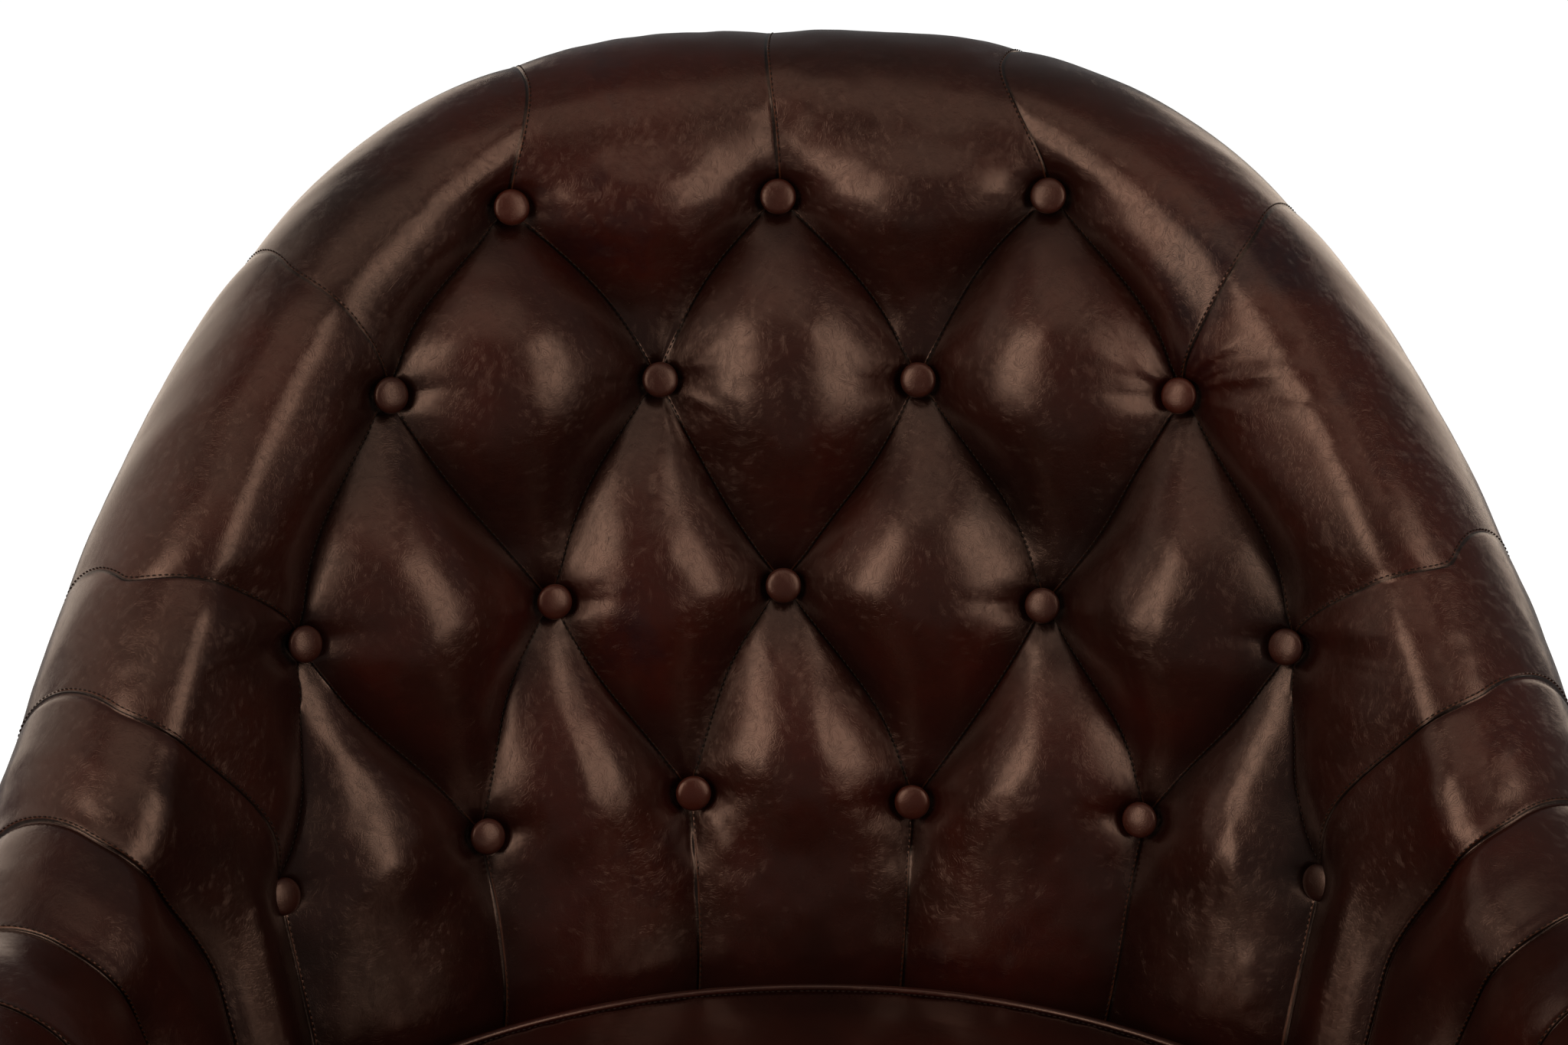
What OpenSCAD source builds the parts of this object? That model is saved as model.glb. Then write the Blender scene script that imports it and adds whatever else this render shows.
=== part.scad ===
// Deep-buttoned tub chair: a beech horseshoe frame, buttoned inside back, channelled arms that
// roll over a swept rail, and a loose boxed seat cushion.
// The chair faces -Y and stands on Z = 0. Left and right are as seen from the front.

/* [Seat] */
// Thickness of the cushion at its edge
cushion_t = 112; // [95:5:130]
// Rise of the cushion's crown above its edge
cushion_crown = 14; // [6:2:22]
// Gap between the cushion's rear edge and the back
cushion_back_gap = 12; // [8:1:20]
// Gap between the cushion's sides and the arms
cushion_gap = 4; // [2:1:10]
// Thickness of the sprung deck's padding, under the cushion
deck_t = 79.4; // [60:0.2:100]
// Distance from the plan centre to the front of the cushion and the arms
front_reach = 264; // [250:2:300]

/* [Tub] */
// Inside radius of the back, on its crown at seat height
back_inside_r = 262; // [250:2:290]
// How much further in the arms lie than the back
arm_inset = 12; // [8:1:16]
// Backward lean of the inside back, in degrees
back_lean_angle = 15.4; // [10:0.2:18]
// Outward lean of the inside arms, in degrees
arm_lean_angle = 5; // [2:1:8]
// Thickness of the tub's wall at its base
wall_t = 62; // [60:1:76]
// Radius of the roll along the top
roll_r = 47; // [42:1:52]
// Rise of the roll's centre line above the seat, at the back
back_rise = 348; // [320:2:380]
// Rise of the roll's centre line above the seat, at the arms
arm_rise = 61; // [55:1:90]
// Plan angle at which the roll has come down to the arms
fall_end_angle = 72; // [70:1:85]

/* [Buttoning] */
// Plan angle from one button to the next in a row
column_angle = 19.2; // [17:0.2:19.4]
// Depth of the pleats between the tufts
pleat_d = 11; // [6:1:14]
// Further depth of the dimple at each button
dimple_d = 7; // [3:1:9]
// Diameter of a button
button_d = 16.5; // [14:0.5:18]
// Channels on the curved part of each arm
curve_channels = 4; // [3:1:5]
// Channels on the straight part of each arm
straight_channels = 5; // [4:1:6]
// Depth of the seams between the channels
channel_d = 5; // [2:1:8]

/* [Frame] */
// Height of the underside of the seat rails
rail_z = 165; // [150:5:180]
// Height of the seat rails
rail_h = 80; // [70:5:90]
// Thickness of the front rail
front_rail_t = 40; // [30:2:46]
// Thickness of the side and back seat rails
side_rail_t = 44; // [38:2:46]
// Radius of the swept rail inside the roll
rail_r = 24; // [18:1:26]
// Width of a post
post_w = 36; // [30:2:40]
// Plan angle of the back posts
back_post_angle = 24; // [18:2:28]
// Plan angle of the side posts
side_post_angle = 62; // [56:2:70]

/* [Legs] */
// Radius of a leg at its top
leg_top_r = 27; // [24:1:30]
// Radius of a leg at its foot
leg_foot_r = 14; // [12:1:18]
// Backward rake of the rear legs, in degrees
rear_rake_angle = 12; // [6:1:15]
// Plan angle of the rear legs
rear_leg_angle = 40; // [36:1:44]

/* [Sheets and fixings] */
// Thickness of the leather
leather_t = 2; // [1.5:0.5:3]
// Thickness of the outside board
board_t = 3; // [2:0.5:4]
// Thickness of the padded arm facings
facing_t = 10; // [8:1:12]
// Diameter of the piping round the facings
welt_d = 7; // [6:1:8]
// Width of a webbing strap
strap_w = 50; // [40:5:52]
// Thickness of a webbing strap
strap_t = 2; // [1:0.5:2.5]
// Diameter of the zigzag spring wire
wire_d = 3.6; // [3:0.2:4.4]
// Number of zigzag springs
spring_count = 5; // [4:1:5]

/* [Hidden] */

// Colours of the leather, the wood and the metal
leather = [0.24, 0.10, 0.07];
beech = [0.80, 0.62, 0.42];
steel = [0.55, 0.56, 0.58];
jute = [0.72, 0.60, 0.42];

over = 1;          // overrun of every cut
fit = 0.05;        // clearance of a dowel, bolt or screw in its hole
seat_fit = 0.3;    // clearance between pieces that are seated on each other
soft_fit = 0.5;    // clearance between a soft piece and what it wraps

turn_angle = 50;           // plan angle where the back starts to turn into the arm
fall_power_share = 1.45;   // how late the roll starts to fall
wrap_angle = 215;          // angle that the leather wraps round the roll
row_shares = [0.923, 0.713, 0.46, 0.21];   // button rows, of the slope from seat to roll
rim_angles = [[0, 0], [1, 16], [1.5, 33], [2, 47], [2.5, 54]];   // column, angle on the rim
edge_column = 2.5;         // column of the outermost button
column_steps = 6;          // stations to a column
channel_steps = 3;         // stations to a channel

rail_top = rail_z + rail_h;
arm_inside = back_inside_r - arm_inset;
base_r = back_inside_r + wall_t;
cushion_r = back_inside_r - cushion_back_gap;
frame_r = base_r - leather_t - board_t - 2 * seat_fit;   // outside of the seat rails
rail_in = frame_r - side_rail_t;                         // inside of the seat rails
frame_front = front_reach - facing_t - seat_fit;         // front of the seat frame and posts
rear_in = rail_in + side_rail_t * 0.27;                  // back of the pads where they stand
wire_r = wire_d / 2;
clip_t = wire_d * 0.35;
spring_z = rail_top + seat_fit + clip_t + wire_r;        // centre of the spring wire
hessian_t = leather_t / 2;
hessian_z = spring_z + wire_r + clip_t + 2 * seat_fit;   // clear of the clips
deck_base = hessian_z + hessian_t + seat_fit;            // where pads and straps stand
deck_top = deck_base + deck_t;
seat_h = deck_top + seat_fit + cushion_t;                // top edge of the cushion
plan_y = (front_reach - (roll_rho(0) + roll_r)) / 2;     // puts the origin under the middle

function smooth(x) = let (c = min(1, max(0, x))) c * c * (3 - 2 * c);
function blend(a, b, s) = a + (b - a) * s;
function steps(a, b, n) = [for (i = [0:n - 1]) blend(a, b, i / n)];
function aim(v) = [0, acos(v.z / norm(v)), atan2(v.y, v.x)];

// The tub's section at plan angle a, where 0 is the middle of the back and 90 an arm
function side_share(a) = smooth((abs(a) - turn_angle) / (90 - turn_angle));
function fall_share(a) = (1 + cos(180 * pow(min(1, abs(a) / fall_end_angle), fall_power_share))) / 2;
function inside_rho(a) = blend(back_inside_r, arm_inside, side_share(a));
function lean(a) = blend(back_lean_angle, arm_lean_angle, side_share(a));
function roll_h(a) = seat_h + blend(arm_rise, back_rise, fall_share(a));
function roll_rho(a) =
    inside_rho(a) + tan(lean(a)) * (roll_h(a) - seat_h) + roll_r / cos(lean(a));
function wall_length(a) = (roll_h(a) - seat_h + roll_r * sin(lean(a))) / cos(lean(a));
function skin_length(a) = wall_length(a) + roll_r * wrap_angle * PI / 180;
function skin_angle(a, up) = 180 - lean(a) - (up - wall_length(a)) / roll_r * 180 / PI;

// Point and outward direction of the leather at a distance up the inside face, in the section
function skin_point(a, up) =
    up < 0 ? [inside_rho(a), seat_h + up]
    : up < wall_length(a) ? [inside_rho(a) + up * sin(lean(a)), seat_h + up * cos(lean(a))]
    : on_roll(a, skin_angle(a, up), roll_r);
function skin_out(a, up) =
    up < 0 ? [-1, 0]
    : up < wall_length(a) ? [-cos(lean(a)), sin(lean(a))]
    : [cos(skin_angle(a, up)), sin(skin_angle(a, up))];
function on_roll(a, angle, r) = [roll_rho(a) + r * cos(angle), roll_h(a) + r * sin(angle)];
function wrap_end(a) = 180 - lean(a) - wrap_angle;

// A section point in space, and the same with a distance forward along a straight arm
function placed(a, p, forward = 0) = [p.x * sin(a), p.x * cos(a) - forward, p.y];
function skin_at(a, up, depth, forward = 0) =
    placed(a, skin_point(a, up) - depth * skin_out(a, up), forward);

// The straps lie on the swept rail, and the padding on the straps. Both have flats whose
// middles clear what lies inside them.
strap_stops = 3;
strap_step_angle = 20;     // angle of one flat of a strap on the rail
groove_stops = 7;
strap_in_r = (rail_r + seat_fit) / cos(strap_step_angle / 2);
function groove_step(a) = (180 - wrap_end(a)) / groove_stops;
function groove_r(a) = (strap_in_r + strap_t + soft_fit) / cos(groove_step(a) / 2);

// Back of the padding: straight up from the deck, then round the rail inside the roll
function pad_rear(a, forward = 0) = [
    placed(a, [rear_in, deck_base], forward),
    for (i = [0:groove_stops])
        placed(a, on_roll(a, 180 - i * groove_step(a), groove_r(a)), forward)
];

// A closed surface through rings of points. Each ring runs up the skin, whose last point is
// number turn, and back down the rear, so the ends are closed by strips between the two.
// Skin and rear fold alike, and where depths are given the skin folds along its deeper diagonal.
module sweep(rings, turn, depths = []) {
    n = len(rings[0]);
    last = len(rings) - 1;
    rear = n - turn - 2;
    function mate(i) = n - 1 - floor(i * rear / turn + 0.5);
    function cap(base, flip) = [
        for (i = [0:turn - 1]) each [
            flip ? [base + i, base + i + 1, base + mate(i)]
                : [base + i + 1, base + i, base + mate(i)],
            if (mate(i + 1) != mate(i))
                flip ? [base + mate(i), base + i + 1, base + mate(i + 1)]
                    : [base + i + 1, base + mate(i), base + mate(i + 1)]
        ]
    ];
    sides = [
        for (r = [0:last - 1], j = [0:n - 1]) let (
            k = (j + 1) % n, a = r * n + j, b = r * n + k, c = a + n, d = b + n,
            fold = j > turn || max(j, k) <= turn && len(depths) > 0
                && depths[r][j] + depths[r + 1][k] > depths[r][k] + depths[r + 1][j]
        ) each fold ? [[a, b, d], [a, d, c]] : [[a, b, c], [b, d, c]]
    ];
    polyhedron(
        points = [for (ring = rings) each ring],
        faces = concat(sides, cap(0, false), cap(last * n, true))
    );
}

// Angle on the rim for a button column, and the stations of the back between the outer columns
function rim_angle(k) = sign(k) * lookup(abs(k), rim_angles);
back_stations = [for (i = [-edge_column * column_steps:edge_column * column_steps])
    i / column_steps];

// Stations of one arm, each as [angle on the wall, angle on the rim, forward, place in channel]
curve_n = curve_channels * channel_steps;
straight_n = straight_channels * channel_steps;
arm_front = frame_front - seat_fit;
arm_stations = concat(
    [for (i = [0:curve_n]) [
        blend(edge_column * column_angle, 90, i / curve_n),
        blend(rim_angle(edge_column), 90, i / curve_n), 0, (i % channel_steps) / channel_steps]],
    [for (i = [1:straight_n]) [
        90, 90, arm_front * i / straight_n, (i % channel_steps) / channel_steps]]
);

// The buttons, as [column, distance up], and the pleats between them
function row_edge(n) = (n + 2) / 2;
row_last = len(row_shares) - 1;
button_rows = [for (s = row_shares) s * wall_length(0)];
buttons = [for (n = [0:row_last], k = [-row_edge(n):row_edge(n)]) [k, button_rows[n]]];
column_w = column_angle * PI / 180 * (back_inside_r + roll_r);
far_up = seat_h;
pleats = concat(
    [for (n = [0:row_last - 1], k = [-row_edge(n):row_edge(n)], s = [-0.5, 0.5])
        [[k, button_rows[n]], [k + s, button_rows[n + 1]]]],
    [for (n = [0:row_last], k = [-row_edge(n):row_edge(n)]) if (n == 0 || abs(k) == row_edge(n))
        [[k, button_rows[n]], [k, far_up]]],
    [for (k = [-row_edge(row_last):row_edge(row_last)])
        [[k, button_rows[row_last]], [k, -far_up]]]
);
function flat(p) = [p[0] * column_w, p[1]];
function to_line(p, a, b) = let (
    d = b - a, s = min(1, max(0, (p - a) * d / (d * d)))
) norm(p - a - s * d);
pleat_w = pleat_d * 2.2;       // reach of a pleat into the tuft beside it
dimple_w = button_d * 0.9;     // reach of a dimple
roll_pleat_share = 0.3;        // depth of a pleat on the roll
function tuft_depth(k, up, a) = let (
    p = flat([k, up]),
    pleat = min([for (c = pleats) to_line(p, flat(c[0]), flat(c[1]))]),
    button = min([for (b = buttons) norm(p - flat(b))]),
    on_wall = 1 - smooth((up - wall_length(a)) / roll_r + 1)
) pleat_d * exp(-pleat / pleat_w) * blend(roll_pleat_share, 1, on_wall)
    + dimple_d * exp(-pow(button / dimple_w, 2));

// The wall angle of a column turns to its rim angle above the column's own top button
function column_top(k) =
    abs(k) <= 1 ? button_rows[0] : lookup(abs(k), [
        for (n = [0:row_last]) [row_edge(n), button_rows[n]]]);
function turned(k, up) = let (
    rim = rim_angle(k), top = wall_length(rim) + roll_r, from = column_top(k)
) blend(k * column_angle, rim, smooth((up - from) / max(roll_r, top - from)));

// Distances up the skin at a station, with the same count at every station. They meet the
// button rows in the middle of the back, and above the third row even out towards its sides.
row_steps = [1, 3, 3, 3, 3, 8];
top_steps = row_steps[3] + row_steps[4] + row_steps[5];
function back_stops(k) = let (
    end = skin_length(rim_angle(k)),
    even = steps(button_rows[2], end, top_steps),
    rows = concat(
        steps(button_rows[2], button_rows[1], row_steps[3]),
        steps(button_rows[1], button_rows[0], row_steps[4]),
        steps(button_rows[0], max(button_rows[0], end), row_steps[5])
    ),
    aside = smooth(abs(k) - row_edge(1))
) concat(
    steps(deck_base - seat_h, 0, row_steps[0]),
    steps(0, button_rows[3], row_steps[1]),
    steps(button_rows[3], button_rows[2], row_steps[2]),
    [for (i = [0:top_steps - 1]) blend(rows[i], even[i], aside)],
    [end]
);
wall_steps = 4;
roll_steps = 7;
function arm_stops(a) = concat(
    steps(deck_base - seat_h, 0, 1),
    steps(0, wall_length(a), wall_steps),
    steps(wall_length(a), skin_length(a), roll_steps),
    [skin_length(a)]
);

// A round ring at a point of a flat run, square to its heading
function round_ring(p, heading, r, sides) = [for (i = [0:sides - 1]) let (a = -360 * i / sides)
    [p.x - r * cos(a) * sin(heading), p.y + r * cos(a) * cos(heading), r * sin(a)]];

module place() {
    translate([0, plan_y, 0]) children();
}

module both_sides() {
    for (side = [0, 1]) mirror([side, 0, 0]) children();
}

// Seat frame
module u_plan(r, front) {
    intersection() {
        circle(r, $fn = 120);
        translate([-r, 0]) square([2 * r, r]);
    }
    translate([-r, -front]) square([2 * r, front]);
}

rear_block_w = leg_top_r * 3;
block_leg = leg_top_r * 2.8;
leg_in = leg_top_r * 0.35;                        // leg's centre, in from the rail's inner face
front_rail_in = frame_front - front_rail_t;
front_leg_at = [rail_in - leg_in, -(front_rail_in - leg_in)];
rear_leg_at = (rail_in - leg_in) * [sin(rear_leg_angle), cos(rear_leg_angle)];
leg_places = [front_leg_at, rear_leg_at];
plate_t = leg_top_r * 0.11;
plate_w = leg_top_r * 2.6;
bolt_r = leg_top_r * 0.15;
bolt_up = rail_h * 0.6;
screw_r = leg_top_r * 0.08;
screw_l = rail_h * 0.2;
screw_at = plate_w * 0.36;

module fixing_holes() {
    both_sides() for (at = leg_places) translate([at.x, at.y, rail_z - over]) {
        cylinder(r = bolt_r + fit, h = bolt_up + 2 * over, $fn = 32);
        for (x = [-1, 1], y = [-1, 1]) translate([x * screw_at, y * screw_at, 0])
            cylinder(r = screw_r + fit, h = screw_l + over, $fn = 24);
    }
}

dowel_r = rail_h * 0.075;
dowel_l = side_rail_t * 0.9;
dowel_hs = [0.3, 0.7];                            // shares of the rail's height

// Dowels run across the front joints and along the joints of side and back rails
module dowels(r, l) {
    for (h = dowel_hs) translate([0, 0, rail_z + rail_h * h]) both_sides() {
        translate([rail_in, -(frame_front - front_rail_t / 2), 0])
            rotate([0, 90, 0]) cylinder(r = r, h = l, center = true, $fn = 32);
        translate([rail_in + side_rail_t / 2, 0, 0])
            rotate([90, 0, 0]) cylinder(r = r, h = l, center = true, $fn = 32);
    }
}

module rail_cuts() {
    fixing_holes();
    dowels(dowel_r + fit, dowel_l + 2 * fit);
}

module front_rail() {
    color(beech) place() difference() {
        translate([-rail_in, -frame_front, rail_z]) cube([2 * rail_in, front_rail_t, rail_h]);
        rail_cuts();
    }
}

module side_rail() {
    color(beech) difference() {
        translate([rail_in, -frame_front, rail_z]) cube([side_rail_t, frame_front, rail_h]);
        rail_cuts();
    }
}

module side_rail_right() {
    place() side_rail();
}

module side_rail_left() {
    place() mirror([1, 0, 0]) side_rail();
}

module back_seat_rail() {
    color(beech) place() difference() {
        translate([0, 0, rail_z]) rotate_extrude(angle = 180, $fn = 120)
            translate([rail_in, 0]) square([side_rail_t, rail_h]);
        rail_cuts();
    }
}

module corner_blocks() {
    color(beech) place() both_sides() difference() {
        translate([0, 0, rail_z]) linear_extrude(rail_h) polygon([
            [rail_in, -front_rail_in], [rail_in, -front_rail_in + block_leg],
            [rail_in - block_leg, -front_rail_in]
        ]);
        rail_cuts();
    }
}

module rear_leg_blocks() {
    color(beech) place() both_sides() difference() {
        intersection() {
            rotate([0, 0, 90 - rear_leg_angle])
                translate([rail_in - 2 * leg_top_r, -rear_block_w / 2, rail_z])
                    cube([2 * leg_top_r, rear_block_w, rail_h]);
            translate([0, 0, rail_z - over]) cylinder(r = rail_in, h = rail_h + 2 * over, $fn = 120);
        }
        rail_cuts();
    }
}

module frame_dowels() {
    color(beech) place() dowels(dowel_r, dowel_l);
}

// Posts stand on the seat rails and are coped round the swept rail
function rail_way(a) = placed(a + 1, on_roll(a + 1, 0, 0)) - placed(a - 1, on_roll(a - 1, 0, 0));
post_top_share = 0.62;                            // half depth of a post's top, of the rail's radius
post_back = soft_fit + strap_t + seat_fit;
post_out = sqrt(pow(frame_r, 2) - pow(post_w / 2, 2));   // keeps a post's corners off the board

module post_section(a) {
    polygon([
        [rear_in + post_back, rail_top], [post_out, rail_top],
        [roll_rho(a) + rail_r * post_top_share, roll_h(a)],
        [roll_rho(a) - rail_r * post_top_share, roll_h(a)]
    ]);
}

module post(a, way) {
    difference() {
        rotate([0, 0, 90 - a]) rotate([90, 0, 0])
            linear_extrude(post_w, center = true) post_section(a);
        translate(placed(a, on_roll(a, 0, 0))) rotate(aim(way))
            cylinder(r = rail_r + seat_fit, h = 3 * post_w, center = true, $fn = 64);
    }
}

module back_posts() {
    color(beech) place() both_sides() post(back_post_angle, rail_way(back_post_angle));
}

module side_posts() {
    color(beech) place() both_sides() post(side_post_angle, rail_way(side_post_angle));
}

module arm_posts() {
    color(beech) place() both_sides()
        translate([0, -(frame_front - post_w / 2), 0]) post(90, [0, 1, 0]);
}

// The rail swept round the top of the back and down into the arms
rail_sides = 12;
function rail_ring(a, forward = 0) = [
    for (i = [0:rail_sides - 1])
        placed(a, on_roll(a, 180 - i * 360 / rail_sides, rail_r), forward)
];

module top_back_rail() {
    color(beech) place()
        sweep([for (k = back_stations) rail_ring(rim_angle(k))], rail_sides / 2 - 1);
}

module arm_rail() {
    color(beech) sweep([for (s = arm_stations) rail_ring(s[1], s[2])], rail_sides / 2 - 1);
}

module arm_rail_right() {
    place() arm_rail();
}

module arm_rail_left() {
    place() mirror([1, 0, 0]) arm_rail();
}

// Zigzag springs lie on the seat rails, held by clips at both ends
spring_w = rail_in * 0.18;
spring_turns = 16;
spring_over = side_rail_t * 0.2;                  // how far the end bars lie onto the rails
wire_sides = 6;
bend_steps = 4;
spring_xs = [for (i = [0:spring_count - 1]) rail_in * 1.3 * (i / (spring_count - 1) - 0.5)];
function spring_back(x) = sqrt(rail_in * rail_in - pow(abs(x) + spring_w / 2, 2)) + spring_over;
spring_front = -front_rail_in - spring_over;

function wire_ring(p, heading) = round_ring(p, heading, wire_r, wire_sides);

// The wire runs along a bar, round a half turn, and back along the next bar
module zigzag(x) {
    pitch = (spring_back(x) - spring_front) / spring_turns;
    bar = spring_w - pitch;
    last_way = spring_turns % 2 == 0 ? 1 : -1;
    sweep(concat(
        [wire_ring([x - bar / 2, spring_front], 0)],
        [for (i = [0:spring_turns - 1], j = [0:bend_steps]) let (
            way = i % 2 == 0 ? 1 : -1, turn = 180 * j / bend_steps
        ) wire_ring([
            x + way * (bar / 2 + pitch / 2 * sin(turn)),
            spring_front + (i + 0.5) * pitch - pitch / 2 * cos(turn)
        ], way > 0 ? turn : 180 - turn)],
        [wire_ring([x + last_way * bar / 2, spring_back(x)], last_way > 0 ? 0 : 180)]
    ), wire_sides / 2 - 1);
}

module seat_springs() {
    color(steel) place() translate([0, 0, spring_z]) for (x = spring_xs) zigzag(x);
}

clip_w = spring_w * 0.3;
clip_foot = wire_d * 3;

// A clip is a strap under the end bar, turned up and over it
module clip() {
    rotate([90, 0, 90]) linear_extrude(clip_w, center = true) {
        difference() {
            translate([0, spring_z]) circle(wire_r + seat_fit + clip_t, $fn = 48);
            translate([0, spring_z]) circle(wire_r + seat_fit, $fn = 48);
            translate([0, spring_z - wire_d - clip_t]) square(2 * wire_d + 2 * clip_t);
        }
        translate([-wire_r - clip_foot, rail_top + seat_fit]) square([clip_foot + wire_r, clip_t]);
    }
}

module spring_clips() {
    color(steel) place() for (x = spring_xs) {
        translate([x, spring_front, 0]) clip();
        translate([x, spring_back(x), 0]) rotate([0, 0, 180]) clip();
    }
}

// The deck: hessian over the springs, a foam pad, and a firm roll along the front rail
deck_r = arm_inside - soft_fit;
edge_roll_t = front_rail_t * 0.8;
deck_front = frame_front - edge_roll_t - leather_t - 2 * seat_fit;

// Plan of the deck: the inside of the tub at seat height, clear of its padding
deck_plan_step = 3;
function deck_edge(a) = (inside_rho(a) - soft_fit) * [sin(a), cos(a)];

module deck_plan(front) {
    polygon(concat(
        [for (a = [-90:deck_plan_step:90]) deck_edge(a)], [[deck_r, -front], [-deck_r, -front]]));
}

module seat_hessian() {
    color(jute) place() translate([0, 0, hessian_z]) linear_extrude(hessian_t)
        u_plan(rear_in + post_back - seat_fit, frame_front);
}

module deck_pad() {
    color(leather) place() translate([0, 0, deck_base])
        linear_extrude(deck_top - deck_base) deck_plan(deck_front);
}

lip_r = edge_roll_t * 0.45;
roll_top = deck_top - leather_t - seat_fit;

module lip_section(grow) {
    hull() {
        translate([lip_r, roll_top - lip_r]) circle(lip_r + grow, $fn = 64);
        translate([edge_roll_t - lip_r, roll_top - lip_r]) circle(lip_r + grow, $fn = 64);
    }
    translate([-grow, deck_base])
        square([edge_roll_t + 2 * grow, roll_top - lip_r - deck_base]);
}

module across(w) {
    translate([0, -frame_front, 0]) rotate([90, 0, 90]) linear_extrude(w, center = true) children();
}

module front_edge_roll() {
    color(jute) place() across(2 * deck_r) lip_section(0);
}

// Leather from the bottom of the front rail, up over the roll and down behind it to the deck
module front_border() {
    color(leather) place() across(2 * deck_r) {
        difference() {
            lip_section(seat_fit + leather_t);
            lip_section(seat_fit);
        }
        translate([-seat_fit - leather_t, rail_z]) square([leather_t, deck_base - rail_z + over]);
    }
}

// Webbing straps run from the seat rail up behind the padding and onto the swept rail
function strap_ring(a, forward = 0) = concat(
    [placed(a, [rear_in + soft_fit, deck_base], forward)],
    [for (i = [0:strap_stops - 1])
        placed(a, on_roll(a, 180 - strap_step_angle * i, strap_in_r + strap_t), forward)],
    [for (i = [strap_stops - 1:-1:0])
        placed(a, on_roll(a, 180 - strap_step_angle * i, strap_in_r), forward)],
    [placed(a, [rear_in + soft_fit + strap_t, deck_base], forward)]
);

strap_half = strap_w / 2 / (rear_in + roll_r) * 180 / PI;
back_straps = [for (k = [-2:2]) k * back_post_angle / 2];

module back_webbing() {
    color(jute) place() for (a = back_straps)
        sweep([for (s = [-1, 0, 1]) strap_ring(a + s * strap_half * 0.8)], strap_stops);
}

arm_straps = [for (i = [1:3]) frame_front * i / 5];

module arm_webbing() {
    color(jute) place() both_sides() for (forward = arm_straps)
        sweep([for (s = [-1, 1]) strap_ring(90, forward + s * strap_w / 4)], strap_stops);
}

// The buttoned inside back, and its buttons
function back_depths(k) = [for (up = back_stops(k)) tuft_depth(k, up, rim_angle(k))];
function back_ring(k, depths) = let (stops = back_stops(k), rear = pad_rear(rim_angle(k))) concat(
    [for (i = [0:len(stops) - 1]) skin_at(turned(k, stops[i]), stops[i], depths[i])],
    [for (i = [len(rear) - 1:-1:0]) rear[i]]
);

module inside_back() {
    depths = [for (k = back_stations) back_depths(k)];
    rings = [for (i = [0:len(back_stations) - 1]) back_ring(back_stations[i], depths[i])];
    color(leather) place() sweep(rings, sum(row_steps), depths);
}

function sum(v, i = 0) = i < len(v) ? v[i] + sum(v, i + 1) : 0;

button_h = button_d * 0.36;
shank_r = button_d * 0.09;
tuft_slope_share = 0.62;                          // rise of a tuft's sides from its bottom
function stand_off(r) = r * tuft_slope_share + seat_fit;
shank_l = stand_off(button_d / 2) - stand_off(shank_r);

module button() {
    rotate_extrude($fn = 48) {
        intersection() {
            translate([0, -button_d * 0.45]) circle(button_d * 0.72, $fn = 96);
            square([button_d / 2, button_h]);
        }
        translate([0, -shank_l]) square([shank_r, shank_l + over]);
    }
}

module tuft_buttons() {
    color(leather) place() for (b = buttons) {
        a = b[0] * column_angle;
        depth = tuft_depth(b[0], b[1], rim_angle(b[0])) - stand_off(button_d / 2);
        translate(skin_at(a, b[1], depth)) rotate(aim(placed(a, skin_out(a, b[1])))) button();
    }
}

// The channelled inside arms
channel_shares = [1, 0.15, 0.15];                 // seam depth at the stations of a channel
function arm_ring(s) = let (stops = arm_stops(s[1]), rear = pad_rear(s[1], s[2])) concat(
    [for (up = stops) let (
        a = blend(s[0], s[1], smooth(up / wall_length(s[1]))),
        seam = channel_d * channel_shares[s[3] * channel_steps]
    ) skin_at(a, up, seam, s[2])],
    [for (i = [len(rear) - 1:-1:0]) rear[i]]
);

module inside_arm() {
    color(leather) sweep([for (s = arm_stations) arm_ring(s)], wall_steps + roll_steps + 1);
}

module inside_arm_right() {
    place() inside_arm();
}

module inside_arm_left() {
    place() mirror([1, 0, 0]) inside_arm();
}

// The outside: board on the frame, leather over it, both tucked up under the roll
tuck_angle = 2.5;                                 // angle between the roll's leather and the tuck
tuck_r = roll_r * 0.88;                           // how far out the tucked edge lies
function outside_ring(a, in, out, forward = 0) = let (end = wrap_end(a) - tuck_angle) [
    placed(a, [base_r - out, rail_z], forward), placed(a, [base_r - out, rail_top], forward),
    placed(a, on_roll(a, end, tuck_r - out), forward),
    placed(a, on_roll(a, end, tuck_r - in), forward),
    placed(a, [base_r - in, rail_top], forward), placed(a, [base_r - in, rail_z], forward)
];

panel_angle = 54;                                 // plan angle of the seams beside the back
panel_n = 14;
panel_fit_angle = 0.1;
function back_panel(in, out) = [for (i = [-panel_n:panel_n])
    outside_ring(i / panel_n * panel_angle, in, out)];
function arm_panel(in, out) = concat(
    [for (i = [0:panel_n - 1])
        outside_ring(blend(panel_angle + panel_fit_angle, 90, i / panel_n), in, out)],
    [outside_ring(90, in, out), outside_ring(90, in, out, frame_front)]
);
board_in = leather_t + seat_fit;

module outside_board() {
    color(jute) place() {
        sweep(back_panel(board_in, board_in + board_t), 2);
        both_sides() sweep(arm_panel(board_in, board_in + board_t), 2);
    }
}

module outside_back() {
    color(leather) place() sweep(back_panel(0, leather_t), 2);
}

module outside_arm_right() {
    color(leather) place() sweep(arm_panel(0, leather_t), 2);
}

module outside_arm_left() {
    color(leather) place() mirror([1, 0, 0]) sweep(arm_panel(0, leather_t), 2);
}

// Facings close the fronts of the arms, inside a piping that follows the arm's outline
facing_end = wrap_end(90) - tuck_angle;           // where the roll ends and the outside goes down

facing_tip = on_roll(90, facing_end, roll_r);
fall_heading = atan2(rail_z - facing_tip.y, base_r - facing_tip.x);
tip_turn = (fall_heading + 90 - facing_end) / 2;  // half the turn between the roll and the outside

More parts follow.
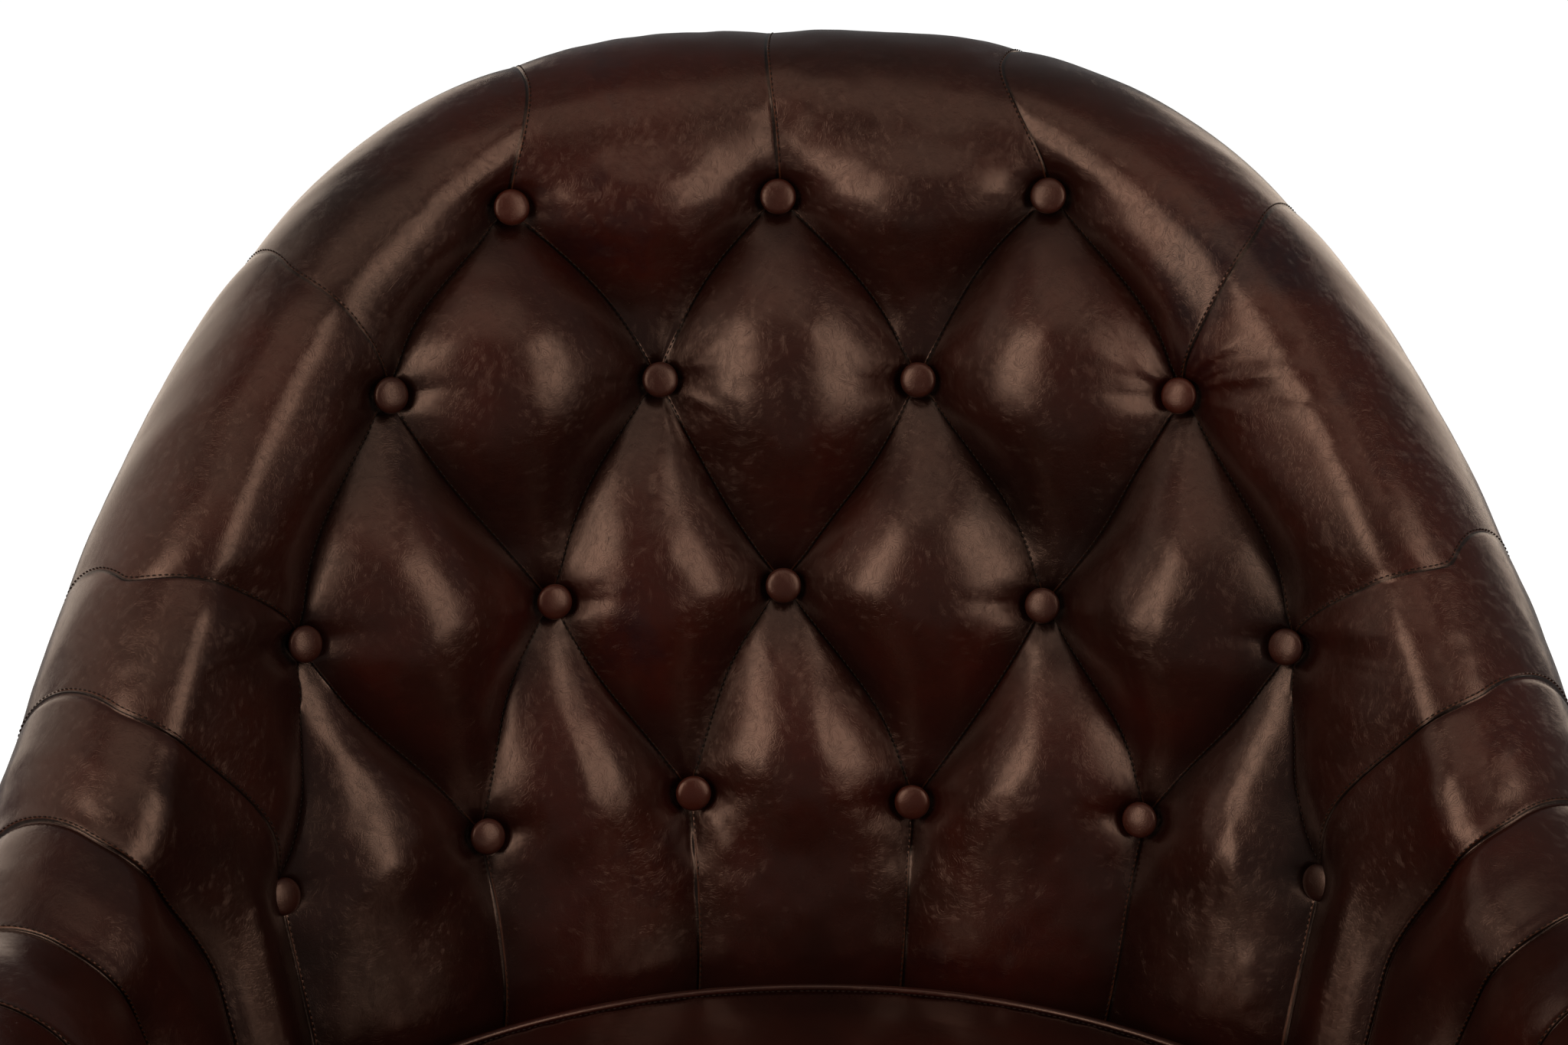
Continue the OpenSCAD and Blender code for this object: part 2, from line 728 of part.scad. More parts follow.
// The outline, a distance in from the arm's surface: inside up, round the roll, outside down
round_steps = 18;
round_angles = [for (i = [0:round_steps]) blend(180 - lean(90), facing_end, i / round_steps)];
function facing_line(in) = concat(
    [[arm_inside + in, rail_z], [arm_inside + in, seat_h]],
    [for (i = [0:round_steps - 1]) on_roll(90, round_angles[i], roll_r - in)],
    [facing_tip - in / cos(tip_turn) * [cos(facing_end + tip_turn), sin(facing_end + tip_turn)]],
    [[base_r - in, rail_z]]
);
function facing_heading(i) =
    i < 2 ? 90
    : i < 2 + round_steps ? round_angles[i - 2] - 90
    : i == 2 + round_steps ? facing_end - 90 + tip_turn
    : fall_heading;
facing_in = welt_d + seat_fit;

module facing() {
    color(leather) translate([0, -frame_front - seat_fit, 0]) rotate([90, 0, 0])
        linear_extrude(facing_t) polygon(facing_line(facing_in));
}

module arm_facing_right() {
    place() facing();
}

module arm_facing_left() {
    place() mirror([1, 0, 0]) facing();
}

// Piping runs up the inside, round the roll and down the outside
welt_sides = 8;

module facing_welt() {
    r = welt_d / 2;
    line = facing_line(r);
    translate([0, -frame_front - seat_fit - r, 0]) rotate([90, 0, 0]) sweep(
        [for (i = [0:len(line) - 1]) round_ring(line[i], facing_heading(i), r, welt_sides)],
        welt_sides / 2 - 1);
}

module facing_welts() {
    color(leather) place() both_sides() facing_welt();
}

module dust_cover() {
    color([0.1, 0.1, 0.1]) place() translate([0, 0, rail_z - hessian_t - seat_fit])
        linear_extrude(hessian_t) difference() {
            u_plan(frame_r, frame_front);
            both_sides() for (at = leg_places) translate(at) circle(plate_w * 0.75, $fn = 64);
        }
}

// The loose cushion: a foam core in a boxed leather cover, crowned on top and flat below
cushion_x = arm_inside - cushion_gap;
corner_r = cushion_t * 0.35;
boxing_bulge = cushion_gap * 0.6;                 // how far the boxing swells past its seams
core_fit = 2 * seat_fit;
rear_turn = asin(cushion_x / cushion_r);
rear_steps = 9;
side_steps = 3;
corner_steps = 4;
front_steps = 3;

// Right half of the outline, from the middle of the rear edge to the middle of the front
function half_outline(grow) = let (r = cushion_r + grow, x = cushion_x + grow, c = corner_r) concat(
    [for (a = steps(0, rear_turn, rear_steps)) r * [sin(a), cos(a)]],
    [for (y = steps(r * cos(rear_turn), c - front_reach - grow, side_steps)) [x, y]],
    [for (a = steps(0, 90, corner_steps))
        [x - c + c * cos(a), c - front_reach - grow - c * sin(a)]],
    [for (t = steps(x - c, 0, front_steps)) [t, -front_reach - grow]],
    [[0, -front_reach - grow]]
);
function outline(grow) = let (half = half_outline(grow), n = len(half) - 1) concat(
    half, [for (i = [n - 1:-1:1]) [-half[i].x, half[i].y]]
);

// Rings from the crown out to the top seam, down the boxing, and in to the middle underneath
crown_shares = [0.3, 0.6, 0.82, 0.95, 1];
boxing_shares = [0.8, 0.5, 0.2, 0];
base_shares = [0.85, 0.4];
module cushion_solid(in) {
    base = deck_top + seat_fit + in;
    edge = seat_h - in;
    crown = cushion_crown;
    loft(concat(
        [for (s = crown_shares) scaled(outline(-in), s, edge + crown * (1 - pow(s, 3)))],
        [for (s = boxing_shares)
            scaled(outline(boxing_bulge * sin(180 * s) - in), 1, blend(base, edge, s))],
        [for (s = base_shares) scaled(outline(-in), s, base)]
    ), edge + crown, base);
}
function scaled(ring, s, z) = [for (p = ring) [p.x * s, p.y * s, z]];

// A closed surface through level outlines, with a middle point above and below
module loft(rings, top, base) {
    n = len(rings[0]);
    last = len(rings) - 1;
    polyhedron(
        points = concat([for (ring = rings) each ring], [[0, 0, top], [0, 0, base]]),
        faces = concat(
            [for (r = [0:last - 1], j = [0:n - 1]) let (
                a = r * n + j, b = r * n + (j + 1) % n, c = a + n, d = b + n
            ) each [[a, c, b], [b, c, d]]],
            [for (j = [0:n - 1]) [j, (j + 1) % n, (last + 1) * n]],
            [for (j = [0:n - 1]) [last * n + (j + 1) % n, last * n + j, (last + 1) * n + 1]]
        )
    );
}

module cushion_cover() {
    color(leather) place() difference() {
        cushion_solid(0);
        cushion_solid(leather_t);
    }
}

module cushion_core() {
    color([0.9, 0.88, 0.8]) place() cushion_solid(leather_t + core_fit);
}

// Legs
glide_t = leg_foot_r * 0.3;
glide_r = leg_foot_r * 0.7;
leg_top = rail_z - plate_t;

module turned_leg() {
    h = leg_top - glide_t;
    rotate_extrude($fn = 64) {
        polygon([
            [0, -over], [leg_foot_r, -over], [leg_foot_r, 0], [leg_top_r * 0.8, h * 0.72],
            [leg_top_r * 0.8, h * 0.78], [leg_top_r, h * 0.84], [leg_top_r, h + over], [0, h + over]
        ]);
        translate([leg_top_r * 0.8, h * 0.75]) circle(leg_top_r * 0.16, $fn = 48);
    }
}

module leg_slab() {
    translate([-base_r, -base_r, glide_t]) cube([2 * base_r, 2 * base_r, leg_top - glide_t]);
}

module bolt_hole() {
    translate([0, 0, leg_top - bolt_up]) cylinder(r = bolt_r + fit, h = bolt_up + over, $fn = 32);
}

module front_leg() {
    color([0.16, 0.08, 0.05]) translate(front_leg_at) difference() {
        intersection() {
            translate([0, 0, glide_t]) turned_leg();
            leg_slab();
        }
        bolt_hole();
    }
}

module rear_leg() {
    color([0.16, 0.08, 0.05]) translate(rear_leg_at) difference() {
        intersection() {
            translate([0, 0, leg_top]) rotate([rear_rake_angle, 0, 0])
                translate([0, 0, glide_t - leg_top]) turned_leg();
            leg_slab();
        }
        bolt_hole();
    }
}

module front_leg_right() {
    place() front_leg();
}

module front_leg_left() {
    place() mirror([1, 0, 0]) front_leg();
}

module rear_leg_right() {
    place() rear_leg();
}

module rear_leg_left() {
    place() mirror([1, 0, 0]) rear_leg();
}

module leg_plates() {
    color(steel) place() both_sides() for (at = leg_places) translate([at.x, at.y, leg_top])
        difference() {
            translate([-plate_w / 2, -plate_w / 2, 0]) cube([plate_w, plate_w, plate_t]);
            translate([0, 0, -over]) cylinder(r = bolt_r + fit, h = plate_t + 2 * over, $fn = 32);
            for (x = [-1, 1], y = [-1, 1]) translate([x * screw_at, y * screw_at, -over])
                cylinder(r = screw_r + fit, h = plate_t + 2 * over, $fn = 24);
        }
}

module leg_bolts() {
    color(steel) place() both_sides() for (at = leg_places)
        translate([at.x, at.y, rail_z - bolt_up * 0.9]) cylinder(r = bolt_r, h = bolt_up * 1.8, $fn = 32);
}

module plate_screws() {
    color(steel) place() both_sides() for (at = leg_places, x = [-1, 1], y = [-1, 1])
        translate([at.x + x * screw_at, at.y + y * screw_at, leg_top]) {
            cylinder(r = screw_r, h = plate_t + screw_l - over, $fn = 24);
            translate([0, 0, -screw_r]) cylinder(r = screw_r * 2, h = screw_r, $fn = 32);
        }
}

module glides() {
    color(steel) place() both_sides() {
        translate(front_leg_at) cylinder(r = glide_r, h = glide_t, $fn = 48);
        translate(rear_leg_at + [0, tan(rear_rake_angle) * leg_top])
            cylinder(r = glide_r, h = glide_t, $fn = 48);
    }
}

front_rail();
side_rail_left();
side_rail_right();
back_seat_rail();
corner_blocks();
rear_leg_blocks();
frame_dowels();
arm_posts();
side_posts();
back_posts();
top_back_rail();
arm_rail_left();
arm_rail_right();
seat_springs();
spring_clips();
seat_hessian();
deck_pad();
front_edge_roll();
back_webbing();
arm_webbing();
inside_back();
inside_arm_left();
inside_arm_right();
tuft_buttons();
outside_board();
outside_back();
outside_arm_left();
outside_arm_right();
arm_facing_left();
arm_facing_right();
facing_welts();
front_border();
dust_cover();
cushion_cover();
cushion_core();
front_leg_left();
front_leg_right();
rear_leg_left();
rear_leg_right();
leg_plates();
leg_bolts();
plate_screws();
glides();
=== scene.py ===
# %% [markdown]
# # A deep-buttoned leather tub chair
# The chair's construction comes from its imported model, which is loaded first and never moved.
# Everything soft is then modelled again at full detail in the same place: the buttoned back, the
# channelled arms, the loose cushion and the leather outside. Lengths in this lesson are in
# millimetres, and one factor turns them into Blender's metres.

# %% Load the frame
import math

import bmesh
import bpy
import numpy as np
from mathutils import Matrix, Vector
from mathutils.geometry import delaunay_2d_cdt


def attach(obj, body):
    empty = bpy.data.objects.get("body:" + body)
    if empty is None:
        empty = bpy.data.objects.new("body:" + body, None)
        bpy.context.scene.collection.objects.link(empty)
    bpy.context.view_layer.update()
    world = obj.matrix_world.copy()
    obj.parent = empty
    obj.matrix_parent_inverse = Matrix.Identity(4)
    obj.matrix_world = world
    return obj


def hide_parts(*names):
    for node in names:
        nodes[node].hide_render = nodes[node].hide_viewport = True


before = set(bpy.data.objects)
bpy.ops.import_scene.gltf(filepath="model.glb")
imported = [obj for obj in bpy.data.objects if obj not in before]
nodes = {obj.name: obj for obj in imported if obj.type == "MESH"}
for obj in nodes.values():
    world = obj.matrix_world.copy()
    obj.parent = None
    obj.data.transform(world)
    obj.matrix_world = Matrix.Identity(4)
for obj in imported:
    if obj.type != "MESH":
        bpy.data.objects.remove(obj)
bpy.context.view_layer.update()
MM = 0.001

# %% [markdown]
# Colours are chosen as the hex values that a picture shows, so one function turns them into the
# linear values that Blender works in. A second one adds a node, sets it and links it. The short
# ones after it name the nodes that the materials need most.

# %% Colour and node helpers
def colour(code):
    """The linear colour of an sRGB hex value such as #3a1e15."""
    shares = [int(code[i:i + 2], 16) / 255 for i in (1, 3, 5)]
    return (*[c / 12.92 if c <= 0.04045 else ((c + 0.055) / 1.055) ** 2.4 for c in shares], 1.0)


def add(tree, kind, inputs=None, stops=(), **settings):
    """Adds a node with its settings, its colour stops, and its inputs as values or links."""
    node = tree.nodes.new(kind)
    for name, value in settings.items():
        setattr(node, name, value)
    for i, (at, code) in enumerate(stops):
        ramp = node.color_ramp.elements
        stop = ramp[i] if i < len(ramp) else ramp.new(at)
        stop.position, stop.color = at, colour(code)
    for key, value in (inputs or {}).items():
        if isinstance(value, bpy.types.NodeSocket):
            tree.links.new(value, node.inputs[key])
        else:
            node.inputs[key].default_value = value
    return node


def new_finish(name, **sockets):
    """A material with one Principled shader, whose plain values are set on its own sockets."""
    material = bpy.data.materials.new(name)
    material.use_nodes = True
    tree = material.node_tree
    tree.nodes.clear()
    shader = add(tree, "ShaderNodeBsdfPrincipled",
                 {key.replace("_", " "): value for key, value in sockets.items()})
    add(tree, "ShaderNodeOutputMaterial", {"Surface": shader.outputs[0]})
    here = add(tree, "ShaderNodeTexCoord").outputs["Object"]
    return material, tree, shader, here


def dress(tree, shader, **sockets):
    """Links what a material has drawn to the shader's sockets."""
    for key, value in sockets.items():
        tree.links.new(value, shader.inputs[key.replace("_", " ")])


def combine(tree, operation, *values, clamp=False):
    """A sum, a product or the like of values and sockets."""
    return add(tree, "ShaderNodeMath", dict(enumerate(values)), operation=operation,
               use_clamp=clamp).outputs[0]


def spread(tree, value, low=0.0, high=1.0, to_low=0.0, to_high=1.0, ease="LINEAR"):
    """A value carried from one range to another."""
    return add(tree, "ShaderNodeMapRange", {"Value": value, "From Min": low, "From Max": high,
               "To Min": to_low, "To Max": to_high}, interpolation_type=ease).outputs[0]


def blend(tree, share, first, second, kind="MIX"):
    """A share of the second colour laid over the first."""
    return add(tree, "ShaderNodeMix", {0: share, 6: first, 7: second}, data_type="RGBA",
               blend_type=kind).outputs[2]


def ramp(tree, value, stops):
    """A value turned into a colour."""
    return add(tree, "ShaderNodeValToRGB", {0: value}, stops=stops).outputs[0]


def noise(tree, here, scale, **more):
    """Cloudy noise, with about this many clouds in a metre."""
    return add(tree, "ShaderNodeTexNoise", {"Vector": here, "Scale": scale, **more}).outputs[0]


def bump(tree, height, distance, **more):
    """A relief of so many metres."""
    return add(tree, "ShaderNodeBump", {"Height": height, "Distance": distance, **more}).outputs[0]


# %% [markdown]
# The photographer stood close in front of the chair and looked down into the tub. The camera's
# place comes from the rows of buttons, whose real spacing fixes the distance and the lens.

# %% Camera
CAMERA_AT = (-0.037, -0.903, 1.024)
CAMERA_DOWN = 0.33
CAMERA_RIGHT = 0.029
camera = bpy.data.objects.new("camera", bpy.data.cameras.new("camera"))
camera.data.lens = 62.2
camera.data.sensor_width = 36
camera.location = CAMERA_AT
camera.rotation_euler = (math.pi / 2 - CAMERA_DOWN, 0, -CAMERA_RIGHT)
bpy.context.scene.collection.objects.link(camera)
bpy.context.scene.camera = camera
bpy.context.scene.view_settings.view_transform = "Standard"
print("camera", CAMERA_AT)

# %% [markdown]
# Dark leather shows its shape by what it reflects. Two tall softboxes stand left and right of the
# camera, so that each tuft carries a band of light on either flank, and the rest of the room stays
# dark. They stand a little high, so that the lower half of each tuft falls into shade. Weaker and
# wider ones above, beside and behind the chair draw the soft sheen along the rolls. The ground is
# white to the camera, as in a cut-out studio picture, and dimmer in a reflection, so that it
# doesn't wash the leather out. Close under the chair it darkens, as a contact shadow does.

# %% Lights, floor and surround
def softbox(name, at, aim, width, height, power):
    """A rectangular lamp at a place, turned to a point."""
    lamp = bpy.data.lights.new(name, "AREA")
    lamp.color = colour("#ffead4")[:3]
    lamp.shape, lamp.size, lamp.size_y, lamp.energy = "RECTANGLE", width, height, power
    lamp_object = bpy.data.objects.new(name, lamp)
    lamp_object.location = at
    lamp_object.rotation_euler = (Vector(aim) - Vector(at)).to_track_quat("-Z", "Y").to_euler()
    bpy.context.scene.collection.objects.link(lamp_object)


softbox("softbox_left", (-1.6, -1.25, 1.4), (0, 0, 0.7), 1.0, 1.9, 32)
softbox("softbox_right", (1.55, -1.15, 1.4), (0, 0, 0.7), 1.0, 1.9, 24)
softbox("softbox_top", (-0.15, -0.75, 2.6), (0, 0.2, 0.7), 2.0, 1.1, 7)
softbox("softbox_side", (-1.75, 0.35, 1.5), (-0.2, 0.1, 0.65), 1.4, 1.3, 4)
softbox("softbox_rear_left", (-1.3, 1.8, 1.0), (-0.2, 0, 0.6), 1.8, 1.4, 10)
softbox("softbox_rear_right", (1.3, 1.6, 1.0), (0.1, 0, 0.6), 1.2, 1.1, 7)

ROOM_LEVEL, SHEEN_LEVEL = 0.006, 0.2


def white_share(tree):
    """1 for what the camera sees, straight or through glass, and less in a reflection."""
    path = add(tree, "ShaderNodeLightPath").outputs
    seen = combine(tree, "ADD", path["Is Camera Ray"], path["Is Transmission Ray"], clamp=True)
    return combine(tree, "MULTIPLY_ADD", path["Is Glossy Ray"], SHEEN_LEVEL, seen, clamp=True)


world = bpy.data.worlds.new("studio")
bpy.context.scene.world = world
world.use_nodes = True
sky = world.node_tree
sky.nodes.clear()
bright = spread(sky, white_share(sky), to_low=ROOM_LEVEL)
add(sky, "ShaderNodeOutputWorld",
    {0: add(sky, "ShaderNodeBackground", {"Color": (1, 1, 1, 1), "Strength": bright}).outputs[0]})

FLOOR_HALF, CONTACT_REACH = 9.0, 0.26
ground = bpy.data.meshes.new("floor")
ground.from_pydata([(x * FLOOR_HALF, y * FLOOR_HALF, 0) for x, y in
                    ((-1, -1), (1, -1), (1, 1), (-1, 1))], [], [(0, 1, 2, 3)])
floor = bpy.data.objects.new("floor", ground)
bpy.context.scene.collection.objects.link(floor)
paint = bpy.data.materials.new("floor_white_paint")
paint.use_nodes = True
tree = paint.node_tree
tree.nodes.clear()
seen = white_share(tree)
shade = blend(tree, seen, colour("#383838"), colour("#f2f2f2"))
lit = add(tree, "ShaderNodeBsdfDiffuse", {"Color": shade}).outputs[0]
contact = add(tree, "ShaderNodeAmbientOcclusion", {"Distance": CONTACT_REACH},
              samples=8).outputs["AO"]
bright = spread(tree, contact, 0.1, 0.95, 0.5, 1.2)
plain = add(tree, "ShaderNodeEmission", {"Color": (1, 1, 1, 1), "Strength": bright}).outputs[0]
share = combine(tree, "MULTIPLY", seen, 0.85)
add(tree, "ShaderNodeOutputMaterial",
    {0: add(tree, "ShaderNodeMixShader", {0: share, 1: lit, 2: plain}).outputs[0]})
ground.materials.append(paint)
print("six softboxes and a white ground")

# %% [markdown]
# The whole tub follows one section that turns round a plan centre. At plan angle 0 it is the
# middle of the back and at 90 degrees an arm. The inside face leans back, and its leather runs
# over a roll whose centre falls from the back to the arms. These are the same sizes as the
# model's, so what is built from them lies where the model's pieces lie.

# %% The tub's section
SEAT_H, DECK_BASE, RAIL_Z, RAIL_TOP = 445.02, 253.32, 165, 245
BACK_IN, ARM_IN, BASE_R = 262, 250, 324
BACK_LEAN, ARM_LEAN = math.radians(15.4), math.radians(5)
ROLL_R, BACK_RISE, ARM_RISE = 47, 348, 61
TURN_ANGLE, FALL_END, FALL_POWER = 50, 72, 1.45
WRAP = math.radians(215)
FRONT, FACING_T, SEAT_FIT = 264, 10, 0.3
FRAME_FRONT = FRONT - FACING_T - SEAT_FIT
ARM_FRONT = FRAME_FRONT - SEAT_FIT
REAR_IN = 286.28
SEAM_BLEND = 25


def smooth(x):
    c = np.clip(x, 0, 1)
    return c * c * (3 - 2 * c)


def mix(a, b, s):
    return a + (b - a) * s


def side(a):
    return smooth((np.abs(a) - TURN_ANGLE) / (90 - TURN_ANGLE))


def lean(a):
    return mix(BACK_LEAN, ARM_LEAN, side(a))


def inside(a):
    return mix(BACK_IN, ARM_IN, side(a))


def roll_h(a):
    fall = (1 + np.cos(math.pi * np.minimum(1, np.abs(a) / FALL_END) ** FALL_POWER)) / 2
    return SEAT_H + mix(ARM_RISE, BACK_RISE, fall)


def roll_rho(a):
    return inside(a) + np.tan(lean(a)) * (roll_h(a) - SEAT_H) + ROLL_R / np.cos(lean(a))


def wall_length(a):
    return (roll_h(a) - SEAT_H + ROLL_R * np.sin(lean(a))) / np.cos(lean(a))


def skin_length(a):
    return wall_length(a) + ROLL_R * WRAP


PLAN_Y = (FRONT - (roll_rho(0) + ROLL_R)) / 2


def placed(a, rho, z, forward=0):
    """A point of the section in the chair's space, in millimetres."""
    a = np.radians(a)
    return np.stack(np.broadcast_arrays(
        rho * np.sin(a), rho * np.cos(a) - forward + PLAN_Y, z), axis=-1)


def skin(a, up, forward=0):
    """Point and outward direction of the leather at a distance up the inside face."""
    tilt = np.clip((up + SEAM_BLEND) / (2 * SEAM_BLEND), 0, 1)
    ramp = np.where(up > SEAM_BLEND, up, tilt * tilt * SEAM_BLEND)
    turn = (up - wall_length(a)) / ROLL_R
    round_ = math.pi - lean(a) - turn
    on_roll = turn > 0
    rho = np.where(on_roll, roll_rho(a) + ROLL_R * np.cos(round_),
                   inside(a) + ramp * np.sin(lean(a)))
    z = np.where(on_roll, roll_h(a) + ROLL_R * np.sin(round_),
                 SEAT_H + np.where(up > 0, up * np.cos(lean(a)), up))
    out_rho = np.where(on_roll, np.cos(round_), -np.cos(lean(a) * tilt))
    out_z = np.where(on_roll, np.sin(round_), np.sin(lean(a) * tilt))
    flat = np.radians(a)
    out = np.stack([out_rho * np.sin(flat), out_rho * np.cos(flat), out_z], axis=-1)
    return placed(a, rho, z, forward), out


print("wall in the middle", round(float(wall_length(0)), 1), "mm, plan centre", round(PLAN_Y, 1))

# %% [markdown]
# Nothing made by hand is even, so the seams and tufts wander a little. This field is random but
# seeded, so each run makes the same chair.

# %% A smooth random field
def wander(x, y, size, seed):
    """A smooth field from -1 to 1 whose features measure about one size."""
    cells = np.random.default_rng(seed).uniform(-1, 1, (97, 97))
    gx, gy = np.broadcast_arrays(x / size, y / size)
    ix, iy = np.floor(gx).astype(int), np.floor(gy).astype(int)
    fx, fy = smooth(gx - ix), smooth(gy - iy)
    low = mix(cells[ix % 97, iy % 97], cells[(ix + 1) % 97, iy % 97], fx)
    high = mix(cells[ix % 97, (iy + 1) % 97], cells[(ix + 1) % 97, (iy + 1) % 97], fx)
    return mix(low, high, fy)


# %% [markdown]
# The cover is aniline-dyed cowhide, waxed and rubbed by hand: dark brown with oxblood and
# near-black patches. The hide has a fine pebble grain, pores, and creases that fork. Pads store
# how near each point lies to a seam and how deep it lies in a fold, so the shader can paint the
# shade in a seam's crease as a tight dark line, a highlight on the lip beside it, and shade that
# darkens the folds and hollows.

# %% Leather
def leather(name, tones, gloss):
    """Waxed cowhide, which reads how near a seam and how deep in a fold each point lies."""
    material, tree, shader, here = new_finish(
        name, IOR=1.48, Coat_Weight=0.06, Coat_Roughness=0.2, Specular_IOR_Level=0.42,
        Specular_Tint=(1.0, 0.67, 0.56, 1.0))
    hollow, near, over = (add(tree, "ShaderNodeAttribute", attribute_name=field).outputs["Fac"]
                          for field in ("hollow", "seam", "over"))
    # Patches of about 100 mm, and the dye that sits unevenly in the pores, at about 3 mm
    patches = noise(tree, here, 8.5, Detail=6, Roughness=0.62)
    mottle = noise(tree, here, 160, Detail=4, Roughness=0.7)
    tone = ramp(tree, patches, tones)
    # Random dye in the pores, then painted shade that darkens the leather the deeper it lies in a fold
    for shade in (spread(tree, mottle, 0.3, 0.7, 0.9, 1.08),
                  spread(tree, hollow, to_low=1.0, to_high=0.3)):
        tone = add(tree, "ShaderNodeVectorMath", {0: tone, "Scale": shade},
                   operation="SCALE").outputs[0]
    # A painted highlight on the lip beside a seam, where the lapped fold would catch the light
    lip = combine(tree, "MULTIPLY", spread(tree, near, 0.7, 0.84, ease="SMOOTHSTEP"), over,
                  clamp=True)
    tone = blend(tree, combine(tree, "MULTIPLY", lip, 0.5), tone, colour("#54301f"))
    # Painted shade in the crease of the seam itself, as a tight near-black line
    tone = blend(tree, spread(tree, near, 0.82, 0.92, ease="SMOOTHSTEP"), tone,
                 colour("#080403"))
    rough = spread(tree, patches, 0.3, 0.7, gloss + 0.04, gloss)
    for field, more in ((mottle, 0.02), (hollow, 0.04)):
        rough = combine(tree, "MULTIPLY_ADD", field, more, rough)
    # Pebble grain of about 1.1 mm, forking creases of about 15 mm, soft dents, and the lip's fold
    grain = add(tree, "ShaderNodeTexVoronoi", {"Vector": here, "Scale": 900}).outputs["Distance"]
    bent = add(tree, "ShaderNodeVectorMath", {
        0: here, 1: add(tree, "ShaderNodeTexNoise", {"Vector": here, "Scale": 70}).outputs["Color"],
        2: (0.02, 0.02, 0.02)}, operation="MULTIPLY_ADD").outputs[0]
    forks = add(tree, "ShaderNodeTexVoronoi", {"Vector": bent, "Scale": 70},
                feature="DISTANCE_TO_EDGE").outputs["Distance"]
    relief = bump(tree, grain, 0.000015, Strength=0.7)
    for height, distance, strength in ((spread(tree, forks, high=0.09), 0.00004, 0.5),
                                       (noise(tree, here, 30, Detail=1.5), 0.0006, 0.6),
                                       (lip, 0.0004, 0.4)):
        relief = bump(tree, height, distance, Strength=strength, Normal=relief)
    dress(tree, shader, Base_Color=tone, Roughness=rough, Normal=relief)
    return material


HIDE_TONES = [(0.26, "#130806"), (0.4, "#1e0c09"), (0.52, "#27100c"), (0.63, "#2e0f0a"),
              (0.74, "#1a0c11")]
BUTTON_TONES = [(0.3, "#1c0d0a"), (0.5, "#2f1510"), (0.72, "#3a140c")]
aniline_hide = leather("aniline_cowhide", HIDE_TONES, 0.22)
button_hide = leather("button_cowhide", BUTTON_TONES, 0.3)
print("leathers:", aniline_hide.name, button_hide.name)

# %% [markdown]
# Thread, wood, metal and cloth are finishes of one or two textures each. Each pattern's scale is
# worked out from the real spacing of its threads, fibres or brush marks.

# %% Thread, woods, metals and cloths
def thread(name, tone):
    """Bonded polyester thread, dull from wax: a tight twist, drawn coarse so that it shows."""
    material, tree, shader, here = new_finish(name, IOR=1.5, Roughness=0.6,
                                              Specular_IOR_Level=0.15)
    twist = add(tree, "ShaderNodeTexWave", {"Vector": here, "Scale": 600 / math.tau,
                "Distortion": 2}, bands_direction="DIAGONAL").outputs["Color"]
    dress(tree, shader, Base_Color=blend(tree, 0.35, colour(tone), twist, "MULTIPLY"),
          Normal=bump(tree, twist, 0.0001))
    return material


def wood(name, along, tones, gloss, coat=0.0):
    """Timber whose fibres run along one axis: growth bands of about 8 mm, fibres of 0.6 mm."""
    material, tree, shader, here = new_finish(name, IOR=1.5, Coat_Weight=coat)
    squeeze = [1.0, 1.0, 1.0]
    squeeze[along] = 0.06
    fibre = add(tree, "ShaderNodeMapping", {"Vector": here, "Scale": squeeze}).outputs[0]
    bands = noise(tree, fibre, 120, Detail=3, Distortion=0.6)
    pores = noise(tree, fibre, 1600, Detail=2)
    dress(tree, shader,
          Base_Color=ramp(tree, combine(tree, "MULTIPLY_ADD", pores, 0.25, bands), tones),
          Roughness=spread(tree, pores, to_low=gloss - 0.08, to_high=gloss + 0.12),
          Normal=bump(tree, pores, 0.00012, Strength=0.5))
    return material


def metal(name, tone, gloss, grit):
    """Drawn or plated steel, with marks of one grit size in metres."""
    material, tree, shader, here = new_finish(name, Metallic=1.0)
    marks, dull = noise(tree, here, 1 / grit, Detail=4), noise(tree, here, 40, Detail=3)
    dress(tree, shader, Base_Color=blend(tree, dull, colour(tone), colour("#8f9091")),
          Roughness=spread(tree, marks, to_low=gloss - 0.1, to_high=gloss + 0.15),
          Normal=bump(tree, marks, 0.00004))
    return material


def cloth(name, tones, spacing, sheen):
    """Plain weave: crossing sets of threads at one spacing in metres."""
    material, tree, shader, here = new_finish(name, Roughness=0.9, Sheen_Weight=sheen,
                                              Specular_IOR_Level=0.2)
    warp, weft, rise = (add(tree, "ShaderNodeTexWave", {
        "Vector": here, "Scale": 1 / spacing / math.tau * 2, "Distortion": 0.4},
        bands_direction=axis).outputs["Fac"] for axis in "XYZ")
    weave = combine(tree, "ADD", combine(tree, "MULTIPLY", warp, weft), rise)
    slub = noise(tree, here, 90, Detail=4)
    dress(tree, shader,
          Base_Color=ramp(tree, combine(tree, "MULTIPLY_ADD", weave, 0.3, slub), tones),
          Normal=bump(tree, weave, 0.0003))
    return material


def moulded(name, tones, cell, gloss):
    """Foam, board or nylon: cells or pellets of one size in metres."""
    material, tree, shader, here = new_finish(name, IOR=1.5)
    cells = add(tree, "ShaderNodeTexVoronoi", {"Vector": here, "Scale": 1 / cell}).outputs[0]
    cloud = noise(tree, here, 0.3 / cell, Detail=4)
    dress(tree, shader, Base_Color=ramp(tree, cloud, tones),
          Roughness=spread(tree, cloud, to_low=gloss - 0.1, to_high=gloss + 0.1),
          Normal=bump(tree, cells, cell * 0.2, Strength=0.6))
    return material


